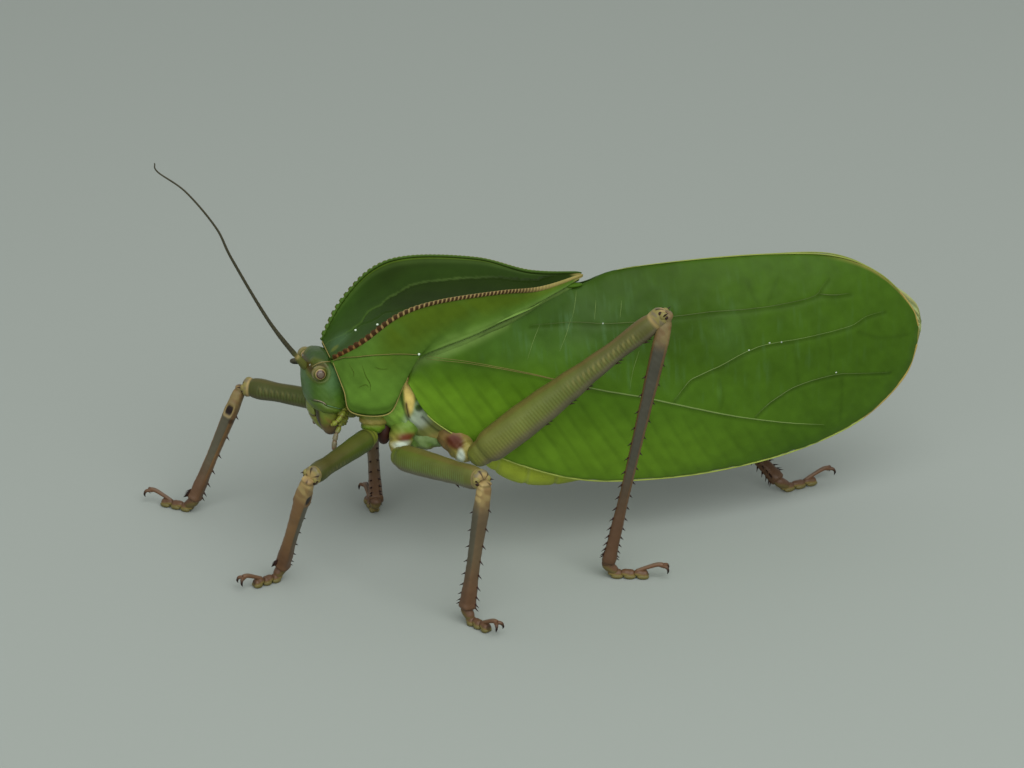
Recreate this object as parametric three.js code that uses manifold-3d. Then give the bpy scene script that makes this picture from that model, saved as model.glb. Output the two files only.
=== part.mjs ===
// Giant hooded katydid: a long-horned grasshopper, standing, life size.
// Millimetres, +Z up. The head looks along -X, the insect's left side is -Y, and the floor is Z = 0.
import * as THREE from 'three';
import { mergeVertices } from 'three/addons/utils/BufferGeometryUtils.js';
import Module from 'manifold-3d';

const wasm = await Module();
wasm.setup();

// ---- Driving dimensions ----
const GAP = 0.3; // clear space between pieces that touch
const SHELL = 1.1; // wall of the pronotum hood
const WING = 0.6; // thickness of a forewing
const WING_LAP = 0.8; // how far the left wing stands above the right one along the back
const FAN = 0.55; // thickness of a folded hindwing
const HOOD_DIP = 4; // depth of the trough between the two crests of the hood
const WING_BULGE = 6.2; // how far a forewing swells out from a straight line between its edges
const FEELER = 0.3; // radius of an antenna's long part
const SOLE = 0; // level that the feet rest on

// Crest of the hood, from the neck to its pointed rear end (right side).
const HOOD_CREST = [
  [-15.1, 5, 46.3], [-9.7, 10.5, 51.8], [-2.6, 12.7, 57.7], [5.5, 12.5, 59.8],
  [19, 9.4, 59.3], [29, 4.6, 57.3], [39, 0.5, 57.8],
];
// Lower edge of the hood: down the collar, round the side lobe and back along the wing.
const HOOD_EDGE = [
  [-14.8, 5.8, 46.1], [-13.4, 9.7, 41.3], [-12, 10.5, 36.6], [-4.6, 10.5, 35.4], [-1.7, 11, 40.8],
  [0.9, 11.4, 46.9], [14.7, 10.5, 51.3], [29.7, 5, 55], [39, 0.5, 57.3],
];
// Upper and lower edge of a forewing, from its root to its tip (left side).
const WING_TOP = [
  [0.9, -9.5, 46], [14.7, -9, 51.8], [29.7, -3.5, 55.2], [38.5, -0.6, 56],
  [46, -0.6, 58.4], [62, -0.6, 59.1], [80, -0.8, 58.8], [94, -1.6, 57.2],
  [104, -2.1, 52.1], [110.8, -2.4, 44.4], [113.1, -2.5, 38.6],
];
const WING_FOOT = [
  [-0.2, -10.3, 41.6], [3.5, -10.4, 34.3], [11.7, -9.6, 27.1], [23.4, -9.2, 20.1],
  [37.5, -8.8, 14.8], [54, -7.9, 12.8], [70, -6.9, 12.9], [86, -5.6, 15],
  [100, -4.4, 19.8], [109.6, -3.4, 28.1], [113.1, -2.6, 36.8],
];
// The same for the folded hindwing beneath it.
const FAN_TOP = [
  [44, -1.5, 50], [66, -1.6, 54.5], [88, -1.5, 54.5], [104, -1.4, 50.5], [112, -1.3, 45], [114, -1.25, 40],
];
const FAN_FOOT = [
  [44, -1.5, 40], [66, -1.6, 36], [88, -1.5, 30], [103, -1.4, 27], [111.6, -1.3, 30.5], [114, -1.25, 38],
];

// Cross-sections of the trunk: [x, centre height, half width, half height].
const THORAX = [
  [-10.3, 39, 5, 4.5], [-8, 38.8, 7.6, 7], [-3, 38, 8.8, 9.8], [3, 37.2, 9.3, 12],
  [8.5, 35, 9.2, 12.4], [12.5, 32, 8.4, 10.2], [14, 31, 7.2, 8.4],
];
const ABDOMEN = [
  [14.6, 29.5, 7, 8], [18, 27.5, 8, 10.4], [24, 25.1, 7.9, 12.4], [32, 23.9, 7.4, 12.9],
  [42, 23.9, 6.8, 12], [54, 24.6, 5.9, 10.2], [66, 26, 4.8, 7.6], [75, 27, 3.8, 5.6], [80, 27.6, 2.4, 3.2],
];
// Cross-sections of the head, downwards: [height, front x, back x, half width].
const HEAD = [
  [46.7, -17.7, -15.6, 1.8], [46.1, -18.5, -15, 3.4], [45, -19.5, -13.8, 4.7], [43.4, -20.1, -12, 5.4],
  [41, -20.3, -11.5, 5.9], [38.5, -20.1, -11.5, 6.4], [36.6, -19.8, -11.6, 6.8], [35.3, -19.2, -11.9, 6.5],
  [34.8, -18.7, -12.2, 5.6],
];
const EYE = { at: [-17.9, 5.2, 43.4], size: [1.7, 1.6, 1.75] };
const HEAD_TURN = 6; // degrees that the head is turned to its left
const NECK = -12; // x of the axis that it turns about

// Legs: where each segment meets the next, and the level tip of the foot.
const LEGS = [
  {
    name: 'foreleg_left', kind: 'fore', hip: [-6, -4, 37], root: [-7, -6.2, 29],
    knee: [-23.4, -23.1, 29.1], ankle: [-27.3, -9.7, 2.8], toe: [-36.6, -12.8],
  },
  {
    name: 'foreleg_right', kind: 'fore', hip: [-6, 4, 37], root: [-5.8, 6.2, 29.3],
    knee: [-29.2, 23.3, 29.8], ankle: [-40.4, 25.8, 2.6], toe: [-49.4, 33.4],
  },
  {
    name: 'midleg_left', kind: 'mid', hip: [1, -4.6, 32.5], root: [-3, -9.5, 25.5],
    knee: [9.2, -37.6, 31.5], ankle: [5.5, -36.8, 2.8], toe: [10.4, -44.6],
  },
  {
    name: 'midleg_right', kind: 'mid', hip: [1, 4.6, 32.5], root: [-3, 9.5, 25.5],
    knee: [1.6, 39.7, 16], ankle: [-2.4, 15.1, 2.8], toe: [-3.2, 25],
  },
  {
    name: 'hindleg_left', kind: 'hind', hip: [8.4, -4.6, 29.5], root: [12.2, -12.6, 24],
    knee: [49.3, -27, 59.4], ankle: [38.2, -24.8, 2.8], toe: [50.1, -28.5],
  },
  {
    name: 'hindleg_right', kind: 'hind', hip: [8.4, 4.6, 29.5], root: [12.2, 12.6, 24],
    knee: [55.7, 37.4, 36], ankle: [85.6, 4.3, 2.4], toe: [98.8, 7.8],
  },
];
// Radii along each segment, evenly spaced from its upper to its lower end.
const GIRTH = {
  fore: {
    coxa: 2.5,
    femur: [1.6, 2.15, 2.1, 1.95, 1.85, 1.75, 1.95, 1.6],
    tibia: [1.15, 1.3, 1.4, 1.3, 1.2, 1.15, 1.2, 1.35, 1.3],
  },
  mid: {
    coxa: 2.8,
    femur: [1.6, 2.4, 2.4, 2.3, 2.15, 2, 2.1, 1.6],
    tibia: [1.2, 1.3, 1.4, 1.3, 1.2, 1.15, 1.2, 1.35, 1.4],
  },
  hind: {
    coxa: 3.3,
    femur: [2, 3.1, 3.2, 3, 2.6, 2.1, 1.8, 1.95, 1.5],
    tibia: [1.2, 1.6, 1.5, 1.3, 1.15, 1.05, 1.05, 1.25, 1.35],
  },
};
const ANKLE_SLACK = 0.6; // how far the tibia stops short of the foot's joint
const KNEE_SLACK = 0.4; // how far the femur stops short of the knee's joint
const SPINES = { fore: 3, mid: 4, hind: 7 }; // pairs of thorns that the tibia carries
const THORN = { radius: 0.38, length: 1.5, first: 0.28, last: 0.93 }; // first and last: shares of the tibia

// ---- Materials ----
const finish = (color, roughness) => new THREE.MeshStandardMaterial({ color, roughness, metalness: 0 });
const LEAF = finish(0x3f7a1e, 0.42);
const SHIELD = finish(0x3a7a26, 0.45);
const SKIN = finish(0x7fae2e, 0.5);
const OLIVE = finish(0x7d8c3c, 0.5);
const BROWN = finish(0x6e4f3a, 0.5);
const HORN = finish(0x5a2e1c, 0.4);
const LENS = finish(0x9a8478, 0.2);
const FAN_SKIN = finish(0x9aa860, 0.5);

// ---- Shape tools ----
const point = (x, y, z) => new THREE.Vector3(x, y, z);
const flip = (p) => point(p.x, -p.y, p.z);
const line = (points) => new THREE.CatmullRomCurve3(points.map((p) => point(...p)), false, 'catmullrom', 0.5);
const steps = (count) => Array.from({ length: count + 1 }, (_, i) => i / count);
const mix = THREE.MathUtils.lerp;

// Smooth value at t (0 to 1) in a row of evenly spaced numbers.
function along(values, t) {
  const place = t * (values.length - 1);
  const i = Math.min(Math.floor(place), values.length - 2);
  return mix(values[i], values[i + 1], THREE.MathUtils.smoothstep(place - i, 0, 1));
}

// A geometry whose faces all point out.
function outward(positions, index) {
  const at = (i) => point(positions[3 * i], positions[3 * i + 1], positions[3 * i + 2]);
  let volume = 0;
  for (let i = 0; i < index.length; i += 3) {
    volume += at(index[i]).dot(at(index[i + 1]).cross(at(index[i + 2])));
  }
  if (volume < 0) index.reverse();
  const geometry = new THREE.BufferGeometry();
  geometry.setAttribute('position', new THREE.Float32BufferAttribute(positions, 3));
  geometry.setIndex(index);
  return geometry;
}

// Side walls between rings of equal length.
function walls(rings) {
  const count = rings[0].length;
  const index = [];
  for (let row = 0; row < rings.length - 1; row++) {
    for (let i = 0; i < count; i++) {
      const next = (i + 1) % count;
      const [a, b] = [row * count + i, row * count + next];
      index.push(a, b, a + count, b, b + count, a + count);
    }
  }
  return index;
}

// A solid through rings, closed by a fan at each end.
function loft(rings) {
  const count = rings[0].length;
  const index = walls(rings);
  const points = rings.flat();
  for (const row of [0, rings.length - 1]) {
    const middle = points.length;
    points.push(rings[row].reduce((sum, p) => sum.add(p), point(0, 0, 0)).divideScalar(count));
    for (let i = 0; i < count; i++) {
      const pair = [row * count + i, row * count + ((i + 1) % count)];
      if (row === 0) pair.reverse();
      index.push(pair[0], pair[1], middle);
    }
  }
  return outward(points.flatMap((p) => [p.x, p.y, p.z]), index);
}

// A curved plate between an outer and an inner grid of points.
function plate(outer, inner) {
  const columns = outer[0].length;
  const rings = outer.map((row, i) => [...row, ...[...inner[i]].reverse()]);
  const index = walls(rings);
  const count = 2 * columns;
  for (const row of [0, rings.length - 1]) {
    for (let i = 0; i < columns - 1; i++) {
      const base = row * count;
      const quad = [base + i, base + i + 1, base + count - 2 - i, base + count - 1 - i];
      if (row === 0) quad.reverse();
      index.push(quad[0], quad[1], quad[2], quad[0], quad[2], quad[3]);
    }
  }
  return outward(rings.flat().flatMap((p) => [p.x, p.y, p.z]), index);
}

// A rounded limb along a curve. up says which way the taller side of its section points.
function limb(path, radii, { sides = 10, rows = 12, tall = 1.15, up = point(0, 0, 1) } = {}) {
  const rings = steps(rows).map((t) => {
    const centre = path.getPoint(t);
    const ahead = path.getTangent(t);
    const across = ahead.clone().cross(up).normalize();
    const high = across.clone().cross(ahead).normalize();
    const radius = along(radii, t);
    return steps(sides).slice(0, -1).map((u) => {
      const angle = u * 2 * Math.PI;
      const spot = centre.clone().addScaledVector(across, radius * Math.cos(angle));
      return spot.addScaledVector(high, radius * tall * Math.sin(angle));
    });
  });
  return loft(rings);
}

// Rounded sections across X: [x, centre height, half width, half height], grown by a margin.
function trunk(sections, square, sides, rows, grow = 0) {
  const keys = [0, 1, 2, 3].map((k) => sections.map((section) => section[k]));
  const [x, middle, wide, tall] = keys.map((row) => line(row.map((value) => [value, 0, 0])));
  const rings = steps(rows).map((t) => {
    const at = (row) => row.getPoint(t).x;
    return steps(sides).slice(0, -1).map((u) => {
      const [c, s] = [Math.cos(u * 2 * Math.PI), Math.sin(u * 2 * Math.PI)];
      const round = (value) => Math.sign(value) * Math.abs(value) ** (2 / square);
      return point(at(x), (at(wide) + grow) * round(c), at(middle) + (at(tall) + grow) * round(s));
    });
  });
  return loft(rings);
}

function ball(centre, size, columns = 10, rows = 6) {
  const shape = new THREE.SphereGeometry(1, columns, rows).rotateX(Math.PI / 2);
  return shape.scale(...size).translate(...centre);
}

// ---- Joining and cutting ----
function solid(geometry) {
  const bare = geometry.clone();
  bare.deleteAttribute('normal');
  bare.deleteAttribute('uv');
  const merged = mergeVertices(bare, 1e-4);
  return new wasm.Manifold(new wasm.Mesh({
    numProp: 3,
    vertProperties: new Float32Array(merged.getAttribute('position').array),
    triVerts: new Uint32Array(merged.index.array),
  }));
}

function surface(body) {
  const { vertProperties, triVerts } = body.getMesh();
  const geometry = new THREE.BufferGeometry();
  geometry.setAttribute('position', new THREE.BufferAttribute(new Float32Array(vertProperties), 3));
  geometry.setIndex(new THREE.BufferAttribute(new Uint32Array(triVerts), 1));
  return geometry;
}

const join = (shapes) => shapes.map(solid).reduce((whole, next) => whole.add(next));
const cut = (whole, tools) => tools.reduce((left, tool) => left.subtract(tool), whole);

const insect = new THREE.Group();
function piece(name, geometry, material) {
  const mesh = new THREE.Mesh(geometry, material);
  mesh.name = name;
  insect.add(mesh);
  return mesh;
}

// ---- Hood (pronotum) ----
const HOOD_ROWS = 16;
const HOOD_SIDE = 3;
const HOOD_TOP = 6;

function hood(grow = 0) {
  const crest = line(HOOD_CREST);
  const edge = line(HOOD_EDGE);
  const outer = [];
  const inner = [];
  for (const s of steps(HOOD_ROWS)) {
    const top = crest.getPoint(s).add(point(0, grow, grow));
    const foot = edge.getPoint(s).add(point(0, grow, 0));
    const dip = HOOD_DIP * Math.sin(Math.PI * s) ** 1.2;
    const swell = 0.8 * Math.sin(Math.PI * s);
    const half = [];
    for (const t of steps(HOOD_SIDE)) {
      const spot = foot.clone().lerp(top, t);
      half.push(spot.add(point(0, swell * 4 * t * (1 - t), 0)));
    }
    for (const t of steps(HOOD_TOP / 2).slice(1)) {
      half.push(point(top.x, top.y * (1 - t), top.z - dip * (1 - (1 - t) ** 2.4)));
    }
    outer.push([...half, ...[...half].reverse().slice(1).map(flip)]);
    // The inside is an arch that stands one wall inside the outer skin.
    const rise = half[1].clone().sub(half[0]).normalize();
    const wall = SHELL + 2 * grow;
    const lowSide = Math.max(foot.y - wall * Math.abs(rise.z), 0.15);
    const low = point(foot.x, lowSide, foot.z - wall * Math.abs(rise.y) - grow);
    const roof = Math.max(top.z - dip - wall, low.z + 0.02);
    const last = half.length - 1;
    const arch = half.map((spot, i) => {
      const angle = (Math.PI / 2) * (i / last);
      const rising = Math.sin(angle) ** 0.7;
      return point(spot.x, low.y * Math.max(Math.cos(angle), 0) ** 0.7, mix(low.z, roof, rising));
    });
    inner.push([...arch, ...[...arch].reverse().slice(1).map(flip)]);
  }
  if (grow > 0) {
    for (const grid of [outer, inner]) {
      grid[0].forEach((spot) => spot.setX(spot.x - grow));
    }
  }
  return plate(outer, inner);
}

// ---- Wings ----
function wing(topPoints, footPoints, { thick, bulge, rows, columns, side, grow = 0 }) {
  const lap = side > 0 ? WING_LAP : 0;
  const top = line(topPoints.map(([x, y, z], i) => [x, y, i > 3 ? z - lap : z]));
  const foot = line(footPoints);
  const grid = steps(rows).map((s) => steps(columns).map((t) => {
    const spot = top.getPoint(s).lerp(foot.getPoint(s), t);
    const swell = bulge * Math.sin(Math.PI * s) ** 1.3 * (4 * t * (1 - t)) ** 0.75;
    return spot.add(point(0, -swell - grow, -grow * t));
  }));
  const at = (i, j) => grid[THREE.MathUtils.clamp(i, 0, rows)][THREE.MathUtils.clamp(j, 0, columns)];
  const inner = grid.map((row, i) => row.map((spot, j) => {
    const lengthwise = at(i + 1, j).clone().sub(at(i - 1, j));
    const downwards = at(i, j + 1).clone().sub(at(i, j - 1));
    const normal = lengthwise.cross(downwards).normalize();
    if (normal.y < 0) normal.negate();
    const sunk = spot.clone().addScaledVector(normal, thick + 2 * grow);
    return sunk.setY(Math.min(sunk.y, -GAP));
  }));
  const turn = (rowsOf) => rowsOf.map((row) => row.map((spot) => (side > 0 ? flip(spot) : spot)));
  return plate(turn(grid), turn(inner));
}

function forewing(side, grow = 0) {
  return wing(WING_TOP, WING_FOOT, { thick: WING, bulge: WING_BULGE, rows: 16, columns: 5, side, grow });
}

// ---- Head ----
const turned = (body) => body.translate([-NECK, 0, 0]).rotate([0, 0, HEAD_TURN]).translate([NECK, 0, 0]);

function headCapsule(grow = 0) {
  const sides = 14;
  const keys = [0, 1, 2, 3].map((k) => line(HEAD.map((section) => [section[k], 0, 0])));
  const rings = steps(9).map((t) => {
    const [z, front, back, half] = keys.map((row) => row.getPoint(t).x);
    return steps(sides).slice(0, -1).map((u) => {
      const [c, s] = [Math.cos(u * 2 * Math.PI), Math.sin(u * 2 * Math.PI)];
      const round = (value) => Math.sign(value) * Math.abs(value) ** 0.85;
      const depth = (back - front) / 2 + grow;
      const height = z + grow * (1 - 2 * t);
      return point((front + back) / 2 + depth * round(c), (half + grow) * round(s), height);
    });
  });
  return turned(solid(loft(rings)));
}

const onSide = ([x, y, z], side) => [x, side * y, z];
const SIDES = [['left', -1], ['right', 1]];

function buildHead() {
  const room = EYE.size.map((radius) => radius + GAP);
  const sockets = SIDES.map(([, side]) => turned(solid(ball(onSide(EYE.at, side), room))));
  piece('head', surface(cut(headCapsule(), [solid(hood(GAP)), ...sockets])), SHIELD);
  for (const [name, side] of SIDES) {
    piece(`eye_${name}`, surface(turned(solid(ball(onSide(EYE.at, side), EYE.size)))), LENS);
  }
  buildMouth();
  buildFeelers();
}

// Upper lip, jaws, lower jaws with their feelers (palps) and lower lip, hanging below the capsule.
const MOUTH = {
  labrum: {
    path: [[-18.9, 0, 36], [-18.6, 0, 33.7], [-17.5, 0, 31.5], [-15.7, 0, 29.4], [-14, 0, 28.3]],
    radii: [0.6, 0.8, 0.85, 0.75, 0.4],
    tall: 3.1,
  },
  mandible: {
    path: [[-16.2, 3.5, 36], [-15.9, 3.8, 33.3], [-15.1, 3.1, 30.9], [-13.9, 1.7, 28.8]],
    radii: [1.9, 1.95, 1.5, 0.5],
    tall: 1,
  },
  maxilla: {
    path: [[-12.6, 4.4, 35.8], [-12.7, 4.3, 33], [-12.4, 3, 30.6]],
    radii: [1.2, 1.4, 1.2, 0.5],
    tall: 1,
  },
  palp: {
    path: [[-12.7, 4.8, 32.8], [-13.6, 5.8, 31.4], [-14.6, 6.4, 29.8], [-15.2, 7, 27.2]],
    radii: [0.45, 0.4, 0.42, 0.4, 0.5, 0.3],
    tall: 1,
  },
  labium: {
    path: [[-12, 0, 36], [-11.8, 0, 33], [-12.6, 0, 30]],
    radii: [0.8, 1, 0.9, 0.4],
    tall: 2.2,
  },
};

function mouthPart(key, side = 1, grow = 0) {
  const { path, radii, tall } = MOUTH[key];
  const route = line(path.map((spot) => onSide(spot, side)));
  // The two lips are broad from side to side, the paired parts round.
  const up = tall > 1 ? point(0, 1, 0) : point(1, 0, 0);
  const sides = key === 'palp' ? 5 : 7;
  return turned(solid(limb(route, radii.map((radius) => radius + grow), { sides, rows: 4, tall, up })));
}

function buildMouth() {
  const capsule = headCapsule(GAP);
  const lip = mouthPart('labrum', 1, GAP);
  const bothJaws = SIDES.map(([, side]) => mouthPart('mandible', side, GAP));
  piece('labrum', surface(cut(mouthPart('labrum'), [capsule])), SKIN);
  for (const [name, side] of SIDES) {
    piece(`mandible_${name}`, surface(cut(mouthPart('mandible', side), [capsule, lip])), HORN);
    const maxilla = mouthPart('maxilla', side).add(mouthPart('palp', side));
    piece(`maxilla_${name}`, surface(cut(maxilla, [capsule, ...bothJaws])), SKIN);
  }
  const maxillae = SIDES.map(([, side]) => mouthPart('maxilla', side, GAP));
  piece('labium', surface(cut(mouthPart('labium'), [capsule, ...maxillae, ...bothJaws])), SKIN);
}

// The left feeler is carried forwards and up. The right one lies back beside the hood.
const FEELERS = {
  left: [
    [-19.4, -1.4, 43.2], [-27, -5, 55.3], [-34.9, -9.5, 71.6], [-38, -11, 79.1], [-43.8, -12.8, 87.7],
    [-49.1, -13.8, 92.6], [-49.7, -14.1, 94.6],
  ],
  right: [
    [-19.2, 1.5, 43.8], [-21.6, 3.1, 43.3], [-20.6, 5.8, 41.6], [-18, 9, 40.2], [-12, 13, 39.5],
    [-2, 16, 40], [12, 17.6, 41], [28, 17.4, 41], [44, 15.8, 40],
  ],
};
const SCAPE = 0.75; // radius of the feeler's thick first joint
const FEELER_GIRTH = [SCAPE, 0.6, 0.4, 0.36, 0.34, 0.32, FEELER, FEELER, FEELER, FEELER, FEELER, 0.26];

function buildFeelers() {
  for (const [name] of SIDES) {
    const feeler = solid(limb(line(FEELERS[name]), FEELER_GIRTH, { sides: 5, rows: 13, tall: 1 }));
    piece(`antenna_${name}`, surface(cut(feeler, [headCapsule(GAP)])), OLIVE);
  }
}

// ---- Legs ----
// The way from a segment's outer side, square to the segment and level with the leg's own plane.
function legPlane(leg) {
  const [root, knee, ankle] = [leg.root, leg.knee, leg.ankle].map((spot) => point(...spot));
  return knee.clone().sub(root).cross(ankle.clone().sub(knee)).normalize();
}

// A tapered limb between two joints, stopping short of both by the given lengths.
function segment(from, to, short, radii, options) {
  const [start, end] = [point(...from), point(...to)];
  const way = end.clone().sub(start).normalize();
  start.addScaledVector(way, short[0]);
  end.addScaledVector(way, -short[1]);
  return limb(new THREE.LineCurve3(start, end), radii, options);
}

function thorns(leg, radii) {
  const [knee, ankle] = [point(...leg.knee), point(...leg.ankle)];
  const way = ankle.clone().sub(knee).normalize();
  const outside = legPlane(leg);
  // The forelegs carry them on the edge that faces the thigh, the other legs on the opposite edge.
  const behind = way.clone().cross(outside).normalize().multiplyScalar(leg.kind === 'fore' ? -1 : 1);
  const count = SPINES[leg.kind];
  const shapes = [];
  for (const side of [-1, 1]) {
    for (let i = 0; i < count; i++) {
      const t = mix(THORN.first, THORN.last, i / (count - 1));
      const face = behind.clone().addScaledVector(outside, side * 0.9).normalize();
      const foot = knee.clone().lerp(ankle, t).addScaledVector(face, along(radii, t) * 0.7);
      const lean = face.clone().addScaledVector(way, 0.9).normalize();
      const cone = new THREE.ConeGeometry(THORN.radius, THORN.length, 3).translate(0, THORN.length / 2, 0);
      cone.applyQuaternion(new THREE.Quaternion().setFromUnitVectors(point(0, 1, 0), lean));
      shapes.push(cone.translate(foot.x, foot.y, foot.z));
    }
  }
  return shapes;
}

// The foot: three padded joints on the floor, and a slim arched one that ends in two claws.
const PAD = { long: 0.145, wide: 1.05, high: 1.25, middle: 0.85, at: [0.12, 0.33, 0.55] }; // long, at: shares
const CLAW_SPREAD = 1; // half the distance between the tips of the claws

function foot(leg) {
  const heel = point(leg.ankle[0], leg.ankle[1], SOLE);
  const toe = point(leg.toe[0], leg.toe[1], SOLE);
  const length = heel.distanceTo(toe);
  const way = toe.clone().sub(heel).normalize();
  const across = point(-way.y, way.x, 0);
  const at = (t, height, aside = 0) => heel.clone().addScaledVector(way, t * length)
    .addScaledVector(across, aside).setZ(SOLE + height);
  const turn = Math.atan2(way.y, way.x);
  const pads = PAD.at.map((t) => {
    const pad = ball([0, 0, 0], [PAD.long * length, PAD.wide, PAD.high], 6, 3).rotateZ(turn);
    const spot = at(t, PAD.middle);
    return pad.translate(spot.x, spot.y, spot.z);
  });
  const neck = line([leg.ankle, [...at(0.16, 1.1)]]);
  const arch = new THREE.CatmullRomCurve3([at(0.42, 1.2), at(0.62, 2.3), at(0.82, 3.2), at(0.93, 3)]);
  const slim = { sides: 4, rows: 3, tall: 1 };
  const shapes = [
    ...pads,
    limb(neck, [1, 0.9], { ...slim, rows: 1 }),
    limb(arch, [0.6, 0.55, 0.55, 0.65], slim),
  ];
  for (const side of [-1, 1]) {
    const spread = side * CLAW_SPREAD;
    const bend = [at(0.9, 2.9, spread * 0.25), at(0.98, 2.8, spread * 0.8), at(1, 1.6, spread)];
    shapes.push(limb(new THREE.CatmullRomCurve3(bend), [0.45, 0.4, 0.3], { sides: 3, rows: 2, tall: 1 }));
  }
  const floor = new THREE.BoxGeometry(60, 60, 10).translate(heel.x, heel.y, SOLE - 5);
  return cut(join(shapes), [solid(floor)]);
}

const wingRoom = (leg) => solid(forewing(Math.sign(leg.root[1]), GAP));
const thoraxBody = (grow) => solid(trunk(THORAX, 2.3, 16, 8, grow));

function buildLeg(leg) {
  const girth = GIRTH[leg.kind];
  const thigh = point(...leg.knee).sub(point(...leg.root));
  const hipShape = { sides: 7, rows: 3, tall: 1, up: point(1, 0, 0) };
  const femurShape = { sides: 8, rows: 7, tall: 1.1, up: legPlane(leg).cross(thigh).normalize() };
  const shinShape = { sides: 6, rows: 6, tall: 1.1, up: legPlane(leg) };
  const hipRadii = [0.9, 1, 0.85, 0.55].map((share) => share * girth.coxa);
  // Each segment, and the room that its neighbour leaves clear round it.
  const femurAt = (grow) => {
    const short = [-grow, KNEE_SLACK - grow];
    return segment(leg.root, leg.knee, short, girth.femur.map((r) => r + grow), femurShape);
  };
  const shinAt = (grow) => {
    const short = [-grow, ANKLE_SLACK - grow];
    return segment(leg.knee, leg.ankle, short, girth.tibia.map((r) => r + grow), shinShape);
  };
  const femurRoom = solid(femurAt(GAP));
  const shinRoom = solid(shinAt(GAP));
  const hip = solid(segment(leg.hip, leg.root, [0, 0.2], hipRadii, hipShape));
  piece(`${leg.name}_coxa`, surface(cut(hip, [thoraxBody(GAP), wingRoom(leg), femurRoom])), SKIN);
  piece(`${leg.name}_femur`, surface(cut(solid(femurAt(0)), [shinRoom, wingRoom(leg)])), OLIVE);
  piece(`${leg.name}_tibia`, surface(join([shinAt(0), ...thorns(leg, girth.tibia)])), BROWN);
  piece(`${leg.name}_tarsus`, surface(cut(foot(leg), [shinRoom])), HORN);
}

// ---- Assembly ----
piece('pronotum', hood(), SHIELD);
buildHead();
piece('thorax', surface(thoraxBody(0)), SKIN);
piece('abdomen', trunk(ABDOMEN, 2.4, 14, 8), SKIN);
for (const [name, side] of SIDES) {
  const leaf = cut(solid(forewing(side)), [solid(hood(GAP))]);
  piece(`forewing_${name}`, surface(leaf), LEAF);
  const hindwing = { thick: FAN, bulge: 0, rows: 9, columns: 2, side };
  piece(`hindwing_${name}`, wing(FAN_TOP, FAN_FOOT, hindwing), FAN_SKIN);
}
LEGS.forEach(buildLeg);

// The origin is on the floor, under the middle of the whole insect.
const box = new THREE.Box3().setFromObject(insect, true);
const middle = box.getCenter(new THREE.Vector3());
insect.position.set(-middle.x, -middle.y, 0);
const part = new THREE.Group();
part.add(insect);

export default part;
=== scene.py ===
"""Giant hooded katydid, a long-horned grasshopper: the looks of a still, life-size museum model.

Lengths are millimetres in the insect's own frame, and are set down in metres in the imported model's frame.
The head looks along -X, the insect's left side is -Y, and the floor is Z = 0.
"""

import math

import bmesh
import bpy
import numpy as np
from mathutils import Matrix, Vector


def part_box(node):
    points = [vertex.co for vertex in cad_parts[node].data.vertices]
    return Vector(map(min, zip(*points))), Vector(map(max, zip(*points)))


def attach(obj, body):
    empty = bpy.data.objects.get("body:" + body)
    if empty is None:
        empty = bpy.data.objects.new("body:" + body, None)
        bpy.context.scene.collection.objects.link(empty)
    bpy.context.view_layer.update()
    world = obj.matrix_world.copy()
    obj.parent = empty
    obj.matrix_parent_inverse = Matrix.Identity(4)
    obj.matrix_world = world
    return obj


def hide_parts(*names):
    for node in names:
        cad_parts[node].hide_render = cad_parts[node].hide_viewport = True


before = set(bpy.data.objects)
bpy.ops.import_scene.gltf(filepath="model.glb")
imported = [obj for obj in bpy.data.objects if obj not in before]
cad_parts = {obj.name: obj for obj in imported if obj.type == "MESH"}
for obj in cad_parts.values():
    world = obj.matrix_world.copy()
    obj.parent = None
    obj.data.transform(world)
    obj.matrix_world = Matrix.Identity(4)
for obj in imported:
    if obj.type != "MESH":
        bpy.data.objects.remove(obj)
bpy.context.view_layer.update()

bl_info = {
    "name": "Giant hooded katydid",
    "version": (1, 0, 0),
    "blender": (4, 5, 0),
    "location": "View3D > Sidebar > Katydid",
    "description": "Builds a life-size giant hooded katydid round its packed solids",
    "category": "Object",
}

# ---- The animal's own sizes ----
MM = 0.001
GAP = 0.3  # least distance of a wing's inner skin from the middle
SHELL = 1.1  # thickness of the hood's wall
WING = 0.6  # thickness of a forewing
WING_LAP = 0.8  # how much lower the right forewing's rear upper edge lies
FAN = 0.55  # thickness of a hindwing
HOOD_DIP = 4.0  # depth of the trough between the hood's crests
HOOD_SWELL = 0.8  # how far the hood's sides swell outward
WING_BULGE = 6.2  # how far a forewing bulges outward
SIDES = {"left": -1, "right": 1}

# Places are x, y, z. The hood, wings and mouthparts are given for one side and mirrored.
HOOD_CREST = [
    (-15.1, 5, 46.3), (-9.7, 10.5, 51.8), (-2.6, 12.7, 57.7), (5.5, 12.5, 59.8),
    (19, 9.4, 59.3), (29, 4.6, 57.3), (39, 0.5, 57.8),
]
HOOD_EDGE = [
    (-14.8, 5.8, 46.1), (-13.4, 9.7, 41.3), (-12, 10.5, 36.6), (-4.6, 10.5, 35.4), (-1.7, 11, 40.8),
    (0.9, 11.4, 46.9), (14.7, 10.5, 51.3), (29.7, 5, 55), (39, 0.5, 57.3),
]
WING_TOP = [
    (0.9, -9.5, 46), (14.7, -9, 51.8), (29.7, -3.5, 55.2), (38.5, -0.6, 56), (46, -0.6, 58.4),
    (62, -0.6, 59.1), (80, -0.8, 58.8), (94, -1.6, 57.2), (104, -2.1, 52.1), (110.8, -2.4, 44.4),
    (113.1, -2.5, 38.6),
]
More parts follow.
